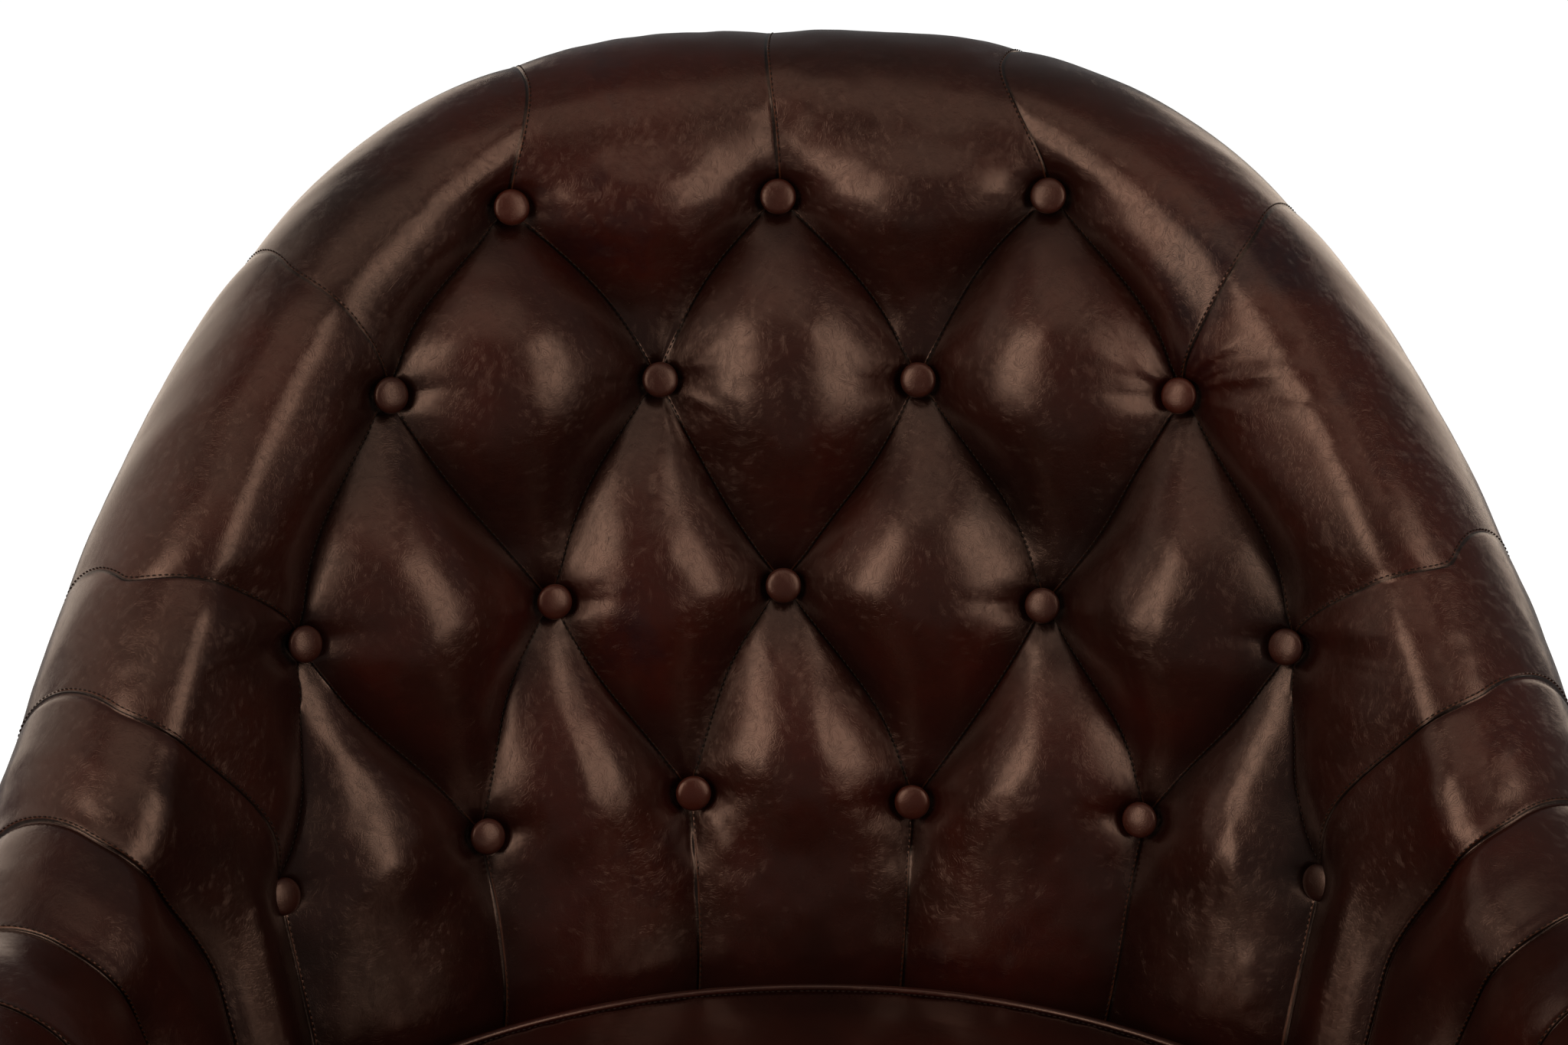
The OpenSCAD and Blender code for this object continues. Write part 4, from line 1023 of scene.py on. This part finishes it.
def pad(name, front, rear, material, folds=None, runs=(), flip=1, **fields):
    """A closed pad from a skin [rows, columns, 3] and its rear, with sharp seams."""
    height, width = front.shape[:2]
    ring = np.concatenate([front, rear[::-1]]) * (flip, 1, 1)
    n = len(ring)
    points = ring.transpose(1, 0, 2).reshape(-1, 3)
    c, j = np.meshgrid(np.arange(width - 1), np.arange(n), indexing="ij")
    a, b = c * n + j, c * n + (j + 1) % n
    d, e = a + n, b + n
    fold = np.zeros((width - 1, n), bool)
    if folds is not None:
        fold[:, :height - 1] = folds.T
    one = np.where(fold[..., None], np.stack([a, d, b], -1), np.stack([a, d, e], -1))
    two = np.where(fold[..., None], np.stack([b, d, e], -1), np.stack([a, e, b], -1))
    faces = [*one.reshape(-1, 3), *two.reshape(-1, 3)]
    i, m, back = 0, 0, len(rear)
    while i < height - 1 or m < back - 1:
        climb = m == back - 1 or i < height - 1 and (i + 1) / (height - 1) <= (m + 1) / (back - 1)
        tip = i + 1 if climb else n - 2 - m
        triangle = (i, tip, n - 1 - m)
        faces += [triangle, tuple(v + (width - 1) * n for v in triangle[::-1])]
        i, m = (i + 1, m) if climb else (i, m + 1)
    if flip < 0:
        faces = [tuple(f)[::-1] for f in faces]
    piece = make_piece(name, points, faces, material)
    pairs = [np.sort(np.stack([cols[:-1] * n + rows[:-1], cols[1:] * n + rows[1:]], 1), axis=1)
             for rows, cols, *_ in runs]
    if pairs:
        ends = np.zeros(len(piece.data.edges) * 2, int)
        piece.data.edges.foreach_get("vertices", ends)
        ends = np.sort(ends.reshape(-1, 2), axis=1)
        keys, wanted = ends @ (len(points), 1), np.concatenate(pairs) @ (len(points), 1)
        store = piece.data.attributes.new("sharp_edge", "BOOLEAN", "EDGE")
        store.data.foreach_set("value", np.isin(keys, wanted))
    set_values(piece, **{key: np.concatenate(
        [values, np.zeros((len(rear), width))]).T.ravel() for key, values in fields.items()})
    return piece


inside_back = pad("buttoned_inside_back", back_skin, pad_rear(rim_angle(columns)), aniline_hide,
                  folds=fold_right, runs=crease_runs, seam=back_near, over=back_over,
                  hollow=back_hollow)
settle(inside_back, stands_for=["inside_back"])
for rows, cols, diagonal, lap in crease_runs:
    beside = (np.minimum(rows + 1, up_net.shape[0] - 1), cols) if diagonal else (
        rows, np.clip(cols + lap, 0, up_net.shape[1] - 1))
    trim = slice(5, -5) if diagonal else slice(5, -1)
    sew(back_skin[rows, cols][trim], (back_skin[beside] - back_skin[rows, cols])[trim],
        back_normals[beside][trim])

# %% [markdown]
# ## The channelled arms
# The arm leather is sewn in strips, and the seams are pulled down into the stuffing, deep at the
# seat and shallow over the roll. One strip laps its neighbour, so the seam shows a raised fold above
# a crease, and fine wrinkles run beside it. The lamps light the fold, and the shader adds a painted
# highlight on it and painted shade as a dark line in the crease. The net has more lines near the
# seams.

# %% Inside arms
CURVE_CHANNELS, STRAIGHT_CHANNELS, ARM_NET = 4, 5, 28
ARM_FOOT_NET, ARM_WALL_NET, ARM_ROLL_NET = 14, 26, 50
SEAMS_ON_WALL = (EDGE_ANGLE, 55.5, 65.5, 77, 90)
SEAMS_ON_RIM = (rim_angle(EDGE), 62.2, 69.8, 79, 90)
CURVE_WIDTHS = np.array((34, 41, 50, 58))
CHANNEL_WALL, CHANNEL_ROLL, CHANNEL_REACH = 9.0, 3.2, 8.0
CHANNEL_BULGE, WRINKLE = 2.4, 0.32
channels = CURVE_CHANNELS + STRAIGHT_CHANNELS
q = chain(*[(i, i + 1, bunched(ARM_NET, 0.8)) for i in range(channels)])
wall_q, rim_q = (np.interp(q, range(CURVE_CHANNELS + 1), seams)
                 for seams in (SEAMS_ON_WALL, SEAMS_ON_RIM))
forward_q = ARM_FRONT * np.maximum(0, q - CURVE_CHANNELS) / STRAIGHT_CHANNELS
arm_up = np.array([chain((DECK_BASE - SEAT_H, 0, evenly(ARM_FOOT_NET)),
                         (0, wall, evenly(ARM_WALL_NET)), (wall, end, evenly(ARM_ROLL_NET)))
                   for wall, end in zip(wall_length(rim_q), skin_length(rim_q))]).T
start = mix(wall_length(rim_q) * 0.55, EDGE_TURN, smooth(1 - q))
span = np.maximum(ROLL_R, wall_length(rim_q) + ROLL_R - start)
arm_a = mix(wall_q, rim_q, smooth((arm_up - start) / span))
arm_base, arm_out = skin(arm_a, arm_up, forward_q)
strip = q - np.minimum(np.floor(q), channels - 1)
width_q = np.where(q < CURVE_CHANNELS, CURVE_WIDTHS[np.minimum(q, CURVE_CHANNELS - 1).astype(int)],
                   ARM_FRONT / STRAIGHT_CHANNELS)
to_seam = np.minimum(strip, 1 - strip) * width_q
arm_roll = smooth((arm_up - wall_length(arm_a) + 30) / 70)
seam_deep = mix(CHANNEL_WALL, CHANNEL_ROLL, arm_roll)
seam_deep = mix(seam_deep, edge_depth(arm_up), smooth(1 - q * 2))
seam_deep = seam_deep * mix(1, 0.35, smooth((q - channels + 0.4) / 0.4))
reach_q = mix(CHANNEL_REACH, 13.0, smooth(1 - q * 2))
arm_bulge = CHANNEL_BULGE * mix(1, 0.7, arm_roll) * smooth((arm_up + 5) / 50)
arm_depth = seam_deep * np.exp(-to_seam / reach_q) - arm_bulge * np.minimum(1, to_seam / 23) ** 0.7
along_arm = np.cumsum(np.concatenate([[0], np.diff(q) * 48]))
wrinkles = wander(along_arm, arm_up * 0.06, 3.4, 21) + 0.5 * wander(along_arm, arm_up * 0.12, 7, 22)
arm_depth += WRINKLE * wrinkles * np.exp(-to_seam / 18) * smooth(to_seam / 3) * mix(0.5, 1, arm_roll)
arm_depth += 0.2 * wander(along_arm, arm_up, 30, 23) * smooth(to_seam / 8)
# The strip behind each seam laps over it, towards the front of the arm
lap_depth = (0.9 * np.exp(-((strip - 1) * width_q / 2.2) ** 2)
             - 1.0 * np.exp(-(strip * width_q / 1.6) ** 2))
arm_depth -= np.where(q < channels - 0.5, lap_depth, 0) * (strip > 0) * mix(0.6, 1, arm_roll)
arm_skin = arm_base - arm_depth[..., None] * arm_out
arm_runs = [(np.arange(len(arm_up)), np.full(len(arm_up), i * ARM_NET), 0, -1)
            for i in range(channels + 1)]
arm_near, arm_over = seam_fields(arm_skin, arm_runs[:-1])
# How deep each point lies by its seam, which the leather turns into painted shade and a little more
# roughness
arm_hollow = np.clip((arm_depth - 1.5) / 9, 0, 1)
arm_normals = grid_normals(arm_skin)
for side_name, flip in SIDES:
    arm = pad("channelled_arm_" + side_name, arm_skin, pad_rear(rim_q, forward_q), aniline_hide,
              runs=arm_runs, flip=flip, seam=arm_near, over=arm_over, hollow=arm_hollow)
    settle(arm, stands_for=["inside_arm_" + side_name])
    for rows, cols, _, lap in arm_runs[1:-1]:
        rows, cols = rows[ARM_FOOT_NET:], cols[ARM_FOOT_NET:]
        line, beside = arm_skin[rows, cols], (rows, cols + lap)
        sew(line * (flip, 1, 1), (arm_skin[beside] - line) * (flip, 1, 1),
            arm_normals[beside] * (flip, 1, 1))

# %% [markdown]
# ## Buttons
# A covered button is a metal mould with a disc of the same leather drawn over it: a low dome
# that turns under at its edge. Each one stands square to the wall, sunk in the middle of its rays.

# %% Covered buttons
BUTTON_BACK = 12.6
button_profile = [(0, -4.2), (1.5, -4.2), (1.6, 0), (5.9, 0.1), (7.2, 0.7), (7.75, 1.6),
                  (7.85, 2.3), (7.6, 3.1), (6.9, 3.75), (5.6, 4.3), (3.8, 4.7), (1.8, 4.9), (0, 4.95)]
button_mesh = turned_mesh("button", button_profile, 40)
spots, spot_out = skin(*set_by_hand(*np.array(buttons).T))
spot_out = unit(spot_out + np.random.default_rng(5).normal(0, 0.035, spot_out.shape))
buttons_piece = repeat("covered_buttons", button_mesh, spots - spot_out * BUTTON_BACK,
                       np.cross(spot_out, (0, 0, 1)), spot_out, button_hide)
settle(buttons_piece, stands_for=["tuft_buttons"])

# %% [markdown]
# ## The loose cushion
# The cushion is a boxed leather cover over foam. Its shape comes from the sewing pattern: a
# crowned top, a boxing strip, and a flat base. The cover is blown up as cloth with its seams
# pinned, so that the panels swell between the seams as stuffed leather does.

# %% The cushion's pattern
CUSHION_R, CUSHION_X, CUSHION_T = 250, 246, 112
CORNER_R, CROWN = CUSHION_T * 0.35, 14
CUSHION_BASE = SEAT_H - CUSHION_T
BOX_BULGE = 2.4


def cushion_outline(grow, step=3.0):
    """The cushion's plan as an even loop of points, from the middle of its rear edge."""
    r, x, c = CUSHION_R + grow, CUSHION_X + grow, CORNER_R
    turn = math.asin(CUSHION_X / CUSHION_R)
    rear = [(r * math.sin(t), r * math.cos(t)) for t in np.linspace(0, turn, 60)]
    corner = [(x - c + c * math.cos(t), c - FRONT - grow - c * math.sin(t))
              for t in np.linspace(0, math.pi / 2, 16)]
    half = np.array([*rear, *corner, (0, -FRONT - grow)])
    whole = np.concatenate([half, half[-2:0:-1] * (-1, 1)])
    looped = np.concatenate([whole, whole[:1]])
    run = run_of(looped)
    at = np.arange(0, run[-1], run[-1] / round(run[-1] / step))
    return points_at(at, run, looped) + (0, PLAN_Y)


def closed_loft(name, rings, top, base, material):
    """A closed surface through level rings, closed by a point above and below."""
    n = len(rings[0])
    points = [p for ring in rings for p in ring] + [top, base]
    last, high = (len(rings) - 1) * n, len(points) - 2
    faces = [(b, a, d, c) for a, b, c, d in quads(len(rings), n)]
    faces += [(high, i, (i + 1) % n) for i in range(n)]
    faces += [(high + 1, last + (i + 1) % n, last + i) for i in range(n)]
    return outward(make_piece(name, points, faces, material))


def level(loop, share, z):
    """A plan outline drawn in towards the plan centre, at one height."""
    flat = (loop - (0, PLAN_Y)) * share + (0, PLAN_Y)
    return [(x, y, z) for x, y in flat]


cushion_rings = [level(cushion_outline(0), s, SEAT_H + CROWN * (1 - s ** 3))
                 for s in (0.15, 0.35, 0.55, 0.72, 0.85, 0.94, 0.985, 1)]
cushion_rings += [level(cushion_outline(BOX_BULGE * math.sin(math.pi * s)), 1,
                        SEAT_H - CUSHION_T * s) for s in (0.06, 0.2, 0.35, 0.5, 0.65, 0.8, 0.94, 1)]
cushion_rings += [level(cushion_outline(0), s, CUSHION_BASE) for s in (0.97, 0.85, 0.6, 0.3)]
cushion = closed_loft("seat_cushion_cover", cushion_rings, (0, PLAN_Y, SEAT_H + CROWN),
                      (0, PLAN_Y, CUSHION_BASE), aniline_hide)
print("cushion pattern", len(cushion.data.vertices), "points")

# %% Blow the cushion up between its seams
VOXEL, PRESSURE, LAST_FRAME = 0.006, 4.0, 20
CAP_TOP, CAP_SIDE = 8.0, 1.5
remesh = cushion.modifiers.new("remesh", "REMESH")
remesh.mode, remesh.voxel_size = "VOXEL", VOXEL
remeshed = from_modifiers(cushion)
rest = np.array([v.co for v in remeshed.vertices])
coarse_outline = cushion_outline(0, 12.0)
to_edge = edge_distance(rest[:, :2] / MM, coarse_outline)
height = rest[:, 2] / MM
seam_gap = np.minimum(np.abs(height - SEAT_H), np.abs(height - CUSHION_BASE))
pinned = (to_edge < 5.5) & (seam_gap < 5.5) | (height < CUSHION_BASE + 3)
group = cushion.vertex_groups.new(name="seams")
group.add([int(i) for i in np.nonzero(pinned)[0]], 1.0, "REPLACE")
sim = cushion.modifiers.new("cloth", "CLOTH")
sim.settings.quality = 5
sim.settings.use_pressure = True
sim.settings.uniform_pressure_force = PRESSURE
sim.settings.vertex_group_mass = "seams"
sim.settings.tension_stiffness = 20
sim.settings.bending_stiffness = 1.2
sim.settings.effector_weights.gravity = 0
sim.point_cache.frame_start, sim.point_cache.frame_end = 1, LAST_FRAME
for step in range(1, LAST_FRAME + 1):
    bpy.context.scene.frame_set(step)
graph = bpy.context.evaluated_depsgraph_get()
blown = np.array([v.co for v in cushion.evaluated_get(graph).data.vertices])
cushion.modifiers.clear()
bpy.context.scene.frame_set(1)
move = blown - rest
long = np.linalg.norm(move, axis=1, keepdims=True)
cap = mix(CAP_SIDE, CAP_TOP, smooth(to_edge / 60))[:, None] * MM
moved = rest + move * np.minimum(1, cap / np.maximum(long, 1e-9))
cushion.data.vertices.foreach_set("co", moved.astype(np.float32).ravel())
cushion.vertex_groups.clear()
print("cushion blown up by at most", round(float(long.max() / MM), 1), "mm")
cushion.data.polygons.foreach_set("use_smooth", np.ones(len(cushion.data.polygons), bool))

# %% [markdown]
# Use has dented the top a little. The seams are sewn after the blowing up, because a remesh
# would erase them: a thin lap round the top and the base, with a row of stitches inside it.

# %% Dents, seams and stitches of the cushion
now = np.array([v.co for v in cushion.data.vertices]) / MM
on_top = smooth((now[:, 2] - SEAT_H + 4) / 8) * smooth(edge_distance(now[:, :2], coarse_outline) / 40)
dents = 1.6 * wander(now[:, 0], now[:, 1], 62, 31) + 0.7 * wander(now[:, 0], now[:, 1], 23, 32)
now[:, 2] += dents * on_top
cushion.data.vertices.foreach_set("co", (now * MM).astype(np.float32).ravel())
finer = cushion.modifiers.new("finer", "SUBSURF")
finer.levels = finer.render_levels = 1
fine_points = np.array([v.co for v in from_modifiers(cushion).vertices]) / MM
seam_line = np.hypot(edge_distance(fine_points[:, :2], coarse_outline), np.minimum(
    np.abs(fine_points[:, 2] - SEAT_H), np.abs(fine_points[:, 2] - CUSHION_BASE)))
# Painted shade darkens the cover towards its top and base seams
set_values(cushion, hollow=np.clip(1 - seam_line / 9, 0, 1) * 0.7)
settle(cushion, body="cushion", stands_for=["cushion_cover"])
SEAM_WELT_R, WELT_OUT, SEWN_IN = 1.7, 0.2, 4.5
loop = cushion_outline(WELT_OUT)
for welt_name, z in (("top", SEAT_H + 0.4), ("base", CUSHION_BASE + SEAM_WELT_R)):
    line = np.column_stack([loop, np.full(len(loop), z)])
    settle(tube("cushion_seam_" + welt_name, line, SEAM_WELT_R, 10, aniline_hide, closed=True),
           body="cushion")
inner = cushion_outline(-SEWN_IN)
straight_up = np.tile((0, 0, 1.0), (len(inner), 1))
sew(np.column_stack([inner, np.full(len(inner), SEAT_H + 0.96)]), straight_up, straight_up,
    0.1, body="cushion")

# %% [markdown]
# ## The outside
# The outside back and arms are sheets of the same leather, drawn tight over thin board, with a
# corded seam where they meet. A little slack shows as soft waves, and the top edge is tucked
# under the roll.

# %% Outside back and arms
LEATHER_T, TUCK_R, TUCK = 2, ROLL_R * 0.88, math.radians(2.5)
PANEL_ANGLE, PANEL_GAP, CORD_R = 54, 0.25, 2.2
ON_RAIL = 0.26    # the share of a sheet's rows that lie straight up on the rail


def outside_net(name, a, forward, flip=1):
    """A leather sheet over a run of plan angles, from the base up under the roll, and its edge."""
    last = math.pi - lean(a) - WRAP - TUCK
    stops = np.concatenate([np.linspace(0, 1, 8)[:-1] * ON_RAIL, np.linspace(ON_RAIL, 1, 26)])[:, None]
    rise_share = np.clip((stops - ON_RAIL) / (1 - ON_RAIL), 0, 1)
    z = np.where(stops < ON_RAIL, mix(RAIL_Z, RAIL_TOP, stops / ON_RAIL),
                 mix(RAIL_TOP, roll_h(a) + TUCK_R * np.sin(last), rise_share))
    rho = mix(BASE_R, roll_rho(a) + TUCK_R * np.cos(last), rise_share)
    soft = 0.9 * wander(np.radians(a) * BASE_R + forward, z, 70, 41) * np.sin(math.pi * stops)
    from_end = np.arange(len(a)) / 6
    slack = soft * smooth(from_end) * smooth(from_end[::-1])
    outer = placed(a, rho + slack, z, forward) * (flip, 1, 1)
    inner = placed(a, rho + np.minimum(slack, 0) - LEATHER_T, z, forward) * (flip, 1, 1)
    return sheet_between(name, outer, inner, aniline_hide), outer[:, 0]


back_angles = np.linspace(-PANEL_ANGLE + PANEL_GAP, PANEL_ANGLE - PANEL_GAP, 97)
outside_back, _ = outside_net("outside_back_leather", back_angles, 0 * back_angles)
settle(outside_back, stands_for=["outside_back"])
bend = np.linspace(PANEL_ANGLE + PANEL_GAP, 90, 33)
run = np.linspace(0, FRAME_FRONT, 30)[1:]
arm_angles = np.concatenate([bend, np.full(len(run), 90.0)])
arm_forward = np.concatenate([0 * bend, run])
for side_name, flip in SIDES:
    sheet, seam = outside_net("outside_arm_leather_" + side_name, arm_angles, arm_forward, flip)
    settle(sheet, stands_for=["outside_arm_" + side_name])
    settle(tube("outside_seam_cord_" + side_name, seam, CORD_R, 10, aniline_hide))

# %% [markdown]
# ## Facings and piping
# The front of each arm is closed by a padded facing, cut to the arm's outline and set inside a
# leather piping. The outline goes up the inside, round the roll and down the outside.

# %% Arm facings and their piping
FACING_END = math.pi - ARM_LEAN - WRAP - TUCK
FACING_BACK = PLAN_Y - FRAME_FRONT - SEAT_FIT
WELT_R, ROUND_STEPS = 3.5, 44
arm_rho, arm_h = float(roll_rho(90.0)), float(roll_h(90.0))
tip = np.array((arm_rho + ROLL_R * math.cos(FACING_END), arm_h + ROLL_R * math.sin(FACING_END)))
fall_heading = math.atan2(RAIL_Z - tip[1], BASE_R - tip[0])
tip_turn = (fall_heading + math.pi / 2 - FACING_END) / 2


def facing_line(inset, step=6.0):
    """The arm's front outline, a distance in from its surface, as (across, height)."""
    turns = np.linspace(math.pi - ARM_LEAN, FACING_END, ROUND_STEPS + 1)[:-1]
    bow = np.column_stack([arm_rho + (ROLL_R - inset) * np.cos(turns),
                           arm_h + (ROLL_R - inset) * np.sin(turns)])
    corner = tip - inset / math.cos(tip_turn) * np.array((math.cos(FACING_END + tip_turn),
                                                          math.sin(FACING_END + tip_turn)))
    knots = np.array([(ARM_IN + inset, RAIL_Z), (ARM_IN + inset, SEAT_H), *bow, corner,
                      (BASE_R - inset, RAIL_Z)])
    run = run_of(knots)
    return points_at(np.unique(np.concatenate([run, np.arange(0, run[-1], step)])), run, knots)


def facing_heights(flat, deep):
    puff = 1 - np.exp(-deep / 6.0)
    return FACING_T * (0.62 + 0.38 * puff), np.zeros(len(flat))


for side_name, flip in SIDES:
    facing = slab("arm_facing_pad_" + side_name, [facing_line(WELT_R * 2 + SEAT_FIT, 3.0)], 6.0,
                  (1.5, 3.5, 6.0), facing_heights, aniline_hide, lambda flat, h: np.column_stack(
                      [flat[:, 0] * flip, FACING_BACK - h, flat[:, 1]]))
    settle(facing, stands_for=["arm_facing_" + side_name])
    line = facing_line(WELT_R)
    welt = tube("facing_piping_" + side_name, np.column_stack(
        [line[:, 0] * flip, np.full(len(line), FACING_BACK - WELT_R), line[:, 1]]),
        WELT_R, 14, aniline_hide)
    settle(welt, stands_for=["facing_welts"])

# %% [markdown]
# ## Front border, deck and dust cover
# The front border is leather drawn from under the front rail up over a firm edge roll. Behind it
# lies the deck, a pad in dark twill that the cushion hides. Black cambric closes the frame below.

# %% Front border
EDGE_ROLL_T, DECK_R = 32, ARM_IN - 0.5
DECK_TOP = CUSHION_BASE - SEAT_FIT
LIP_R, LIP_TOP = EDGE_ROLL_T * 0.45, DECK_TOP - LEATHER_T - SEAT_FIT
xs = np.linspace(-DECK_R, DECK_R, 101)[None]


def border_profile(out):
    """The border in side view as (distance behind the front, height), for one thickness."""
    middle_z, r = LIP_TOP - LIP_R, LIP_R + out
    front = [(-out, z) for z in np.linspace(RAIL_Z, middle_z, 26)]
    first = [(LIP_R - r * math.cos(t), middle_z + r * math.sin(t))
             for t in np.linspace(0.1, math.pi / 2, 12)]
    second = [(EDGE_ROLL_T - LIP_R + r * math.sin(t), middle_z + r * math.cos(t))
              for t in np.linspace(0, math.pi / 2, 12)]
    down = [(EDGE_ROLL_T + out, z) for z in np.linspace(middle_z - 6, DECK_BASE, 10)]
    return np.array([*front, *first, *second, *down])


def border_face(out, high=0.0):
    """One face of the border as a net, with soft ripples on its front."""
    behind, z = border_profile(out).T[..., None]
    ripple = high * wander(xs, z * 0.7, 60, 51) * smooth((DECK_R - np.abs(xs)) / 30)
    return np.stack(np.broadcast_arrays(
        xs, PLAN_Y - FRAME_FRONT + behind - np.maximum(0, ripple) * (behind < 0), z), axis=-1)


border = sheet_between("front_border_leather", border_face(SEAT_FIT + LEATHER_T, 0.7),
                       border_face(SEAT_FIT), aniline_hide)
settle(border, stands_for=["front_border"])

# %% Deck pad
DECK_FRONT = FRAME_FRONT - EDGE_ROLL_T - LEATHER_T - 2 * SEAT_FIT
deck_angles = np.linspace(90, -90, 91)
rear_arc = np.column_stack([np.sin(np.radians(deck_angles)), np.cos(np.radians(deck_angles))])


def tub_plan(radius, half_width, front):
    """A plan outline that is round at the rear and straight along the front."""
    edge = np.column_stack([np.linspace(-half_width, half_width, 60), np.full(60, -front)])
    return np.concatenate([np.reshape(radius, (-1, 1)) * rear_arc, edge])[::-1]


def in_plan(flat, z):
    return np.column_stack([flat[:, 0], flat[:, 1] + PLAN_Y, z])


def deck_heights(flat, deep):
    crown = 1 - np.exp(-deep / 5.0)
    top = mix(DECK_TOP - 7, DECK_TOP, crown)
    return top, np.full(len(flat), float(DECK_BASE))


deck = slab("deck_pad_twill", [tub_plan(inside(deck_angles) - 0.5, DECK_R, DECK_FRONT)], 11.0,
            (1.5, 4.0, 8.0, 14.0), deck_heights, deck_cloth, in_plan)
settle(deck, stands_for=["deck_pad"])

# %% Dust cover
BOARD_T, SIDE_RAIL_W, FRONT_RAIL_W = 3, 44, 40
FRAME_R = BASE_R - LEATHER_T - BOARD_T - 2 * SEAT_FIT
LEG_TOP_R, REAR_LEG = 27, math.radians(40)
leg_reach = FRAME_R - SIDE_RAIL_W - LEG_TOP_R * 0.35
front_leg = np.array((leg_reach, -(FRAME_FRONT - FRONT_RAIL_W - LEG_TOP_R * 0.35)))
rear_leg = leg_reach * np.array((math.sin(REAR_LEG), math.cos(REAR_LEG)))
HOLE_R, COVER_T = LEG_TOP_R * 2.6 * 0.75, 1.0
cover_loop = tub_plan(FRAME_R, FRAME_R, FRAME_FRONT)
turns = np.linspace(0, math.tau, 33)[:-1]
holes = [centre * (flip, 1) + HOLE_R * np.column_stack([np.cos(turns), np.sin(turns)])
         for centre in (front_leg, rear_leg) for flip in (-1, 1)]


def cover_heights(flat, deep):
    sag = 3.0 * smooth((deep - 46) / 120)
    top = RAIL_Z - SEAT_FIT - sag
    return top, top - COVER_T


cover = slab("dust_cover_cambric", [cover_loop, *holes], 14.0, (3.0, 8.0), cover_heights, cambric,
             in_plan)


settle(cover, stands_for=["dust_cover"])

# %% [markdown]
# ## Thread
# All the stitches that the seams asked for are made at once, one piece for each body.

# %% Stitches
for body, runs in stitches.items():
    places, alongs, outs = (np.concatenate([run[i] for run in runs]) for i in range(3))
    thread_piece = repeat("stitches_" + body, stitch_mesh, places + outs * STITCH_RAISED, alongs,
                          outs, seam_thread)
    settle(thread_piece, body=body)
    print(len(places), "stitches on", body)

# %% [markdown]
# ## Finishes of the construction
# What the model already gives, such as frame, springs and legs, keeps its mesh and gets a finish
# whose grain runs the way the piece was cut.

# %% Finish the CAD pieces
FINISHES = (
    (beech_across, "front_rail back_seat_rail frame_dowels top_back_rail"),
    (beech_deep, "side_rail_left side_rail_right arm_rail_left arm_rail_right"),
    (beech_upright, "corner_blocks rear_leg_blocks arm_posts side_posts back_posts"),
    (stained_beech, "front_leg_left front_leg_right rear_leg_left rear_leg_right"),
    (spring_steel, "seat_springs spring_clips"), (hessian, "seat_hessian front_edge_roll"),
    (webbing, "back_webbing arm_webbing"), (panel_board, "outside_board"),
    (foam, "cushion_core"), (zinc_steel, "leg_plates leg_bolts plate_screws"), (nylon, "glides"))
for finish, names in FINISHES:
    for node_name in names.split():
        slots = nodes[node_name].data.materials
        slots.clear()
        slots.append(finish)
    print(finish.name, "on", names)
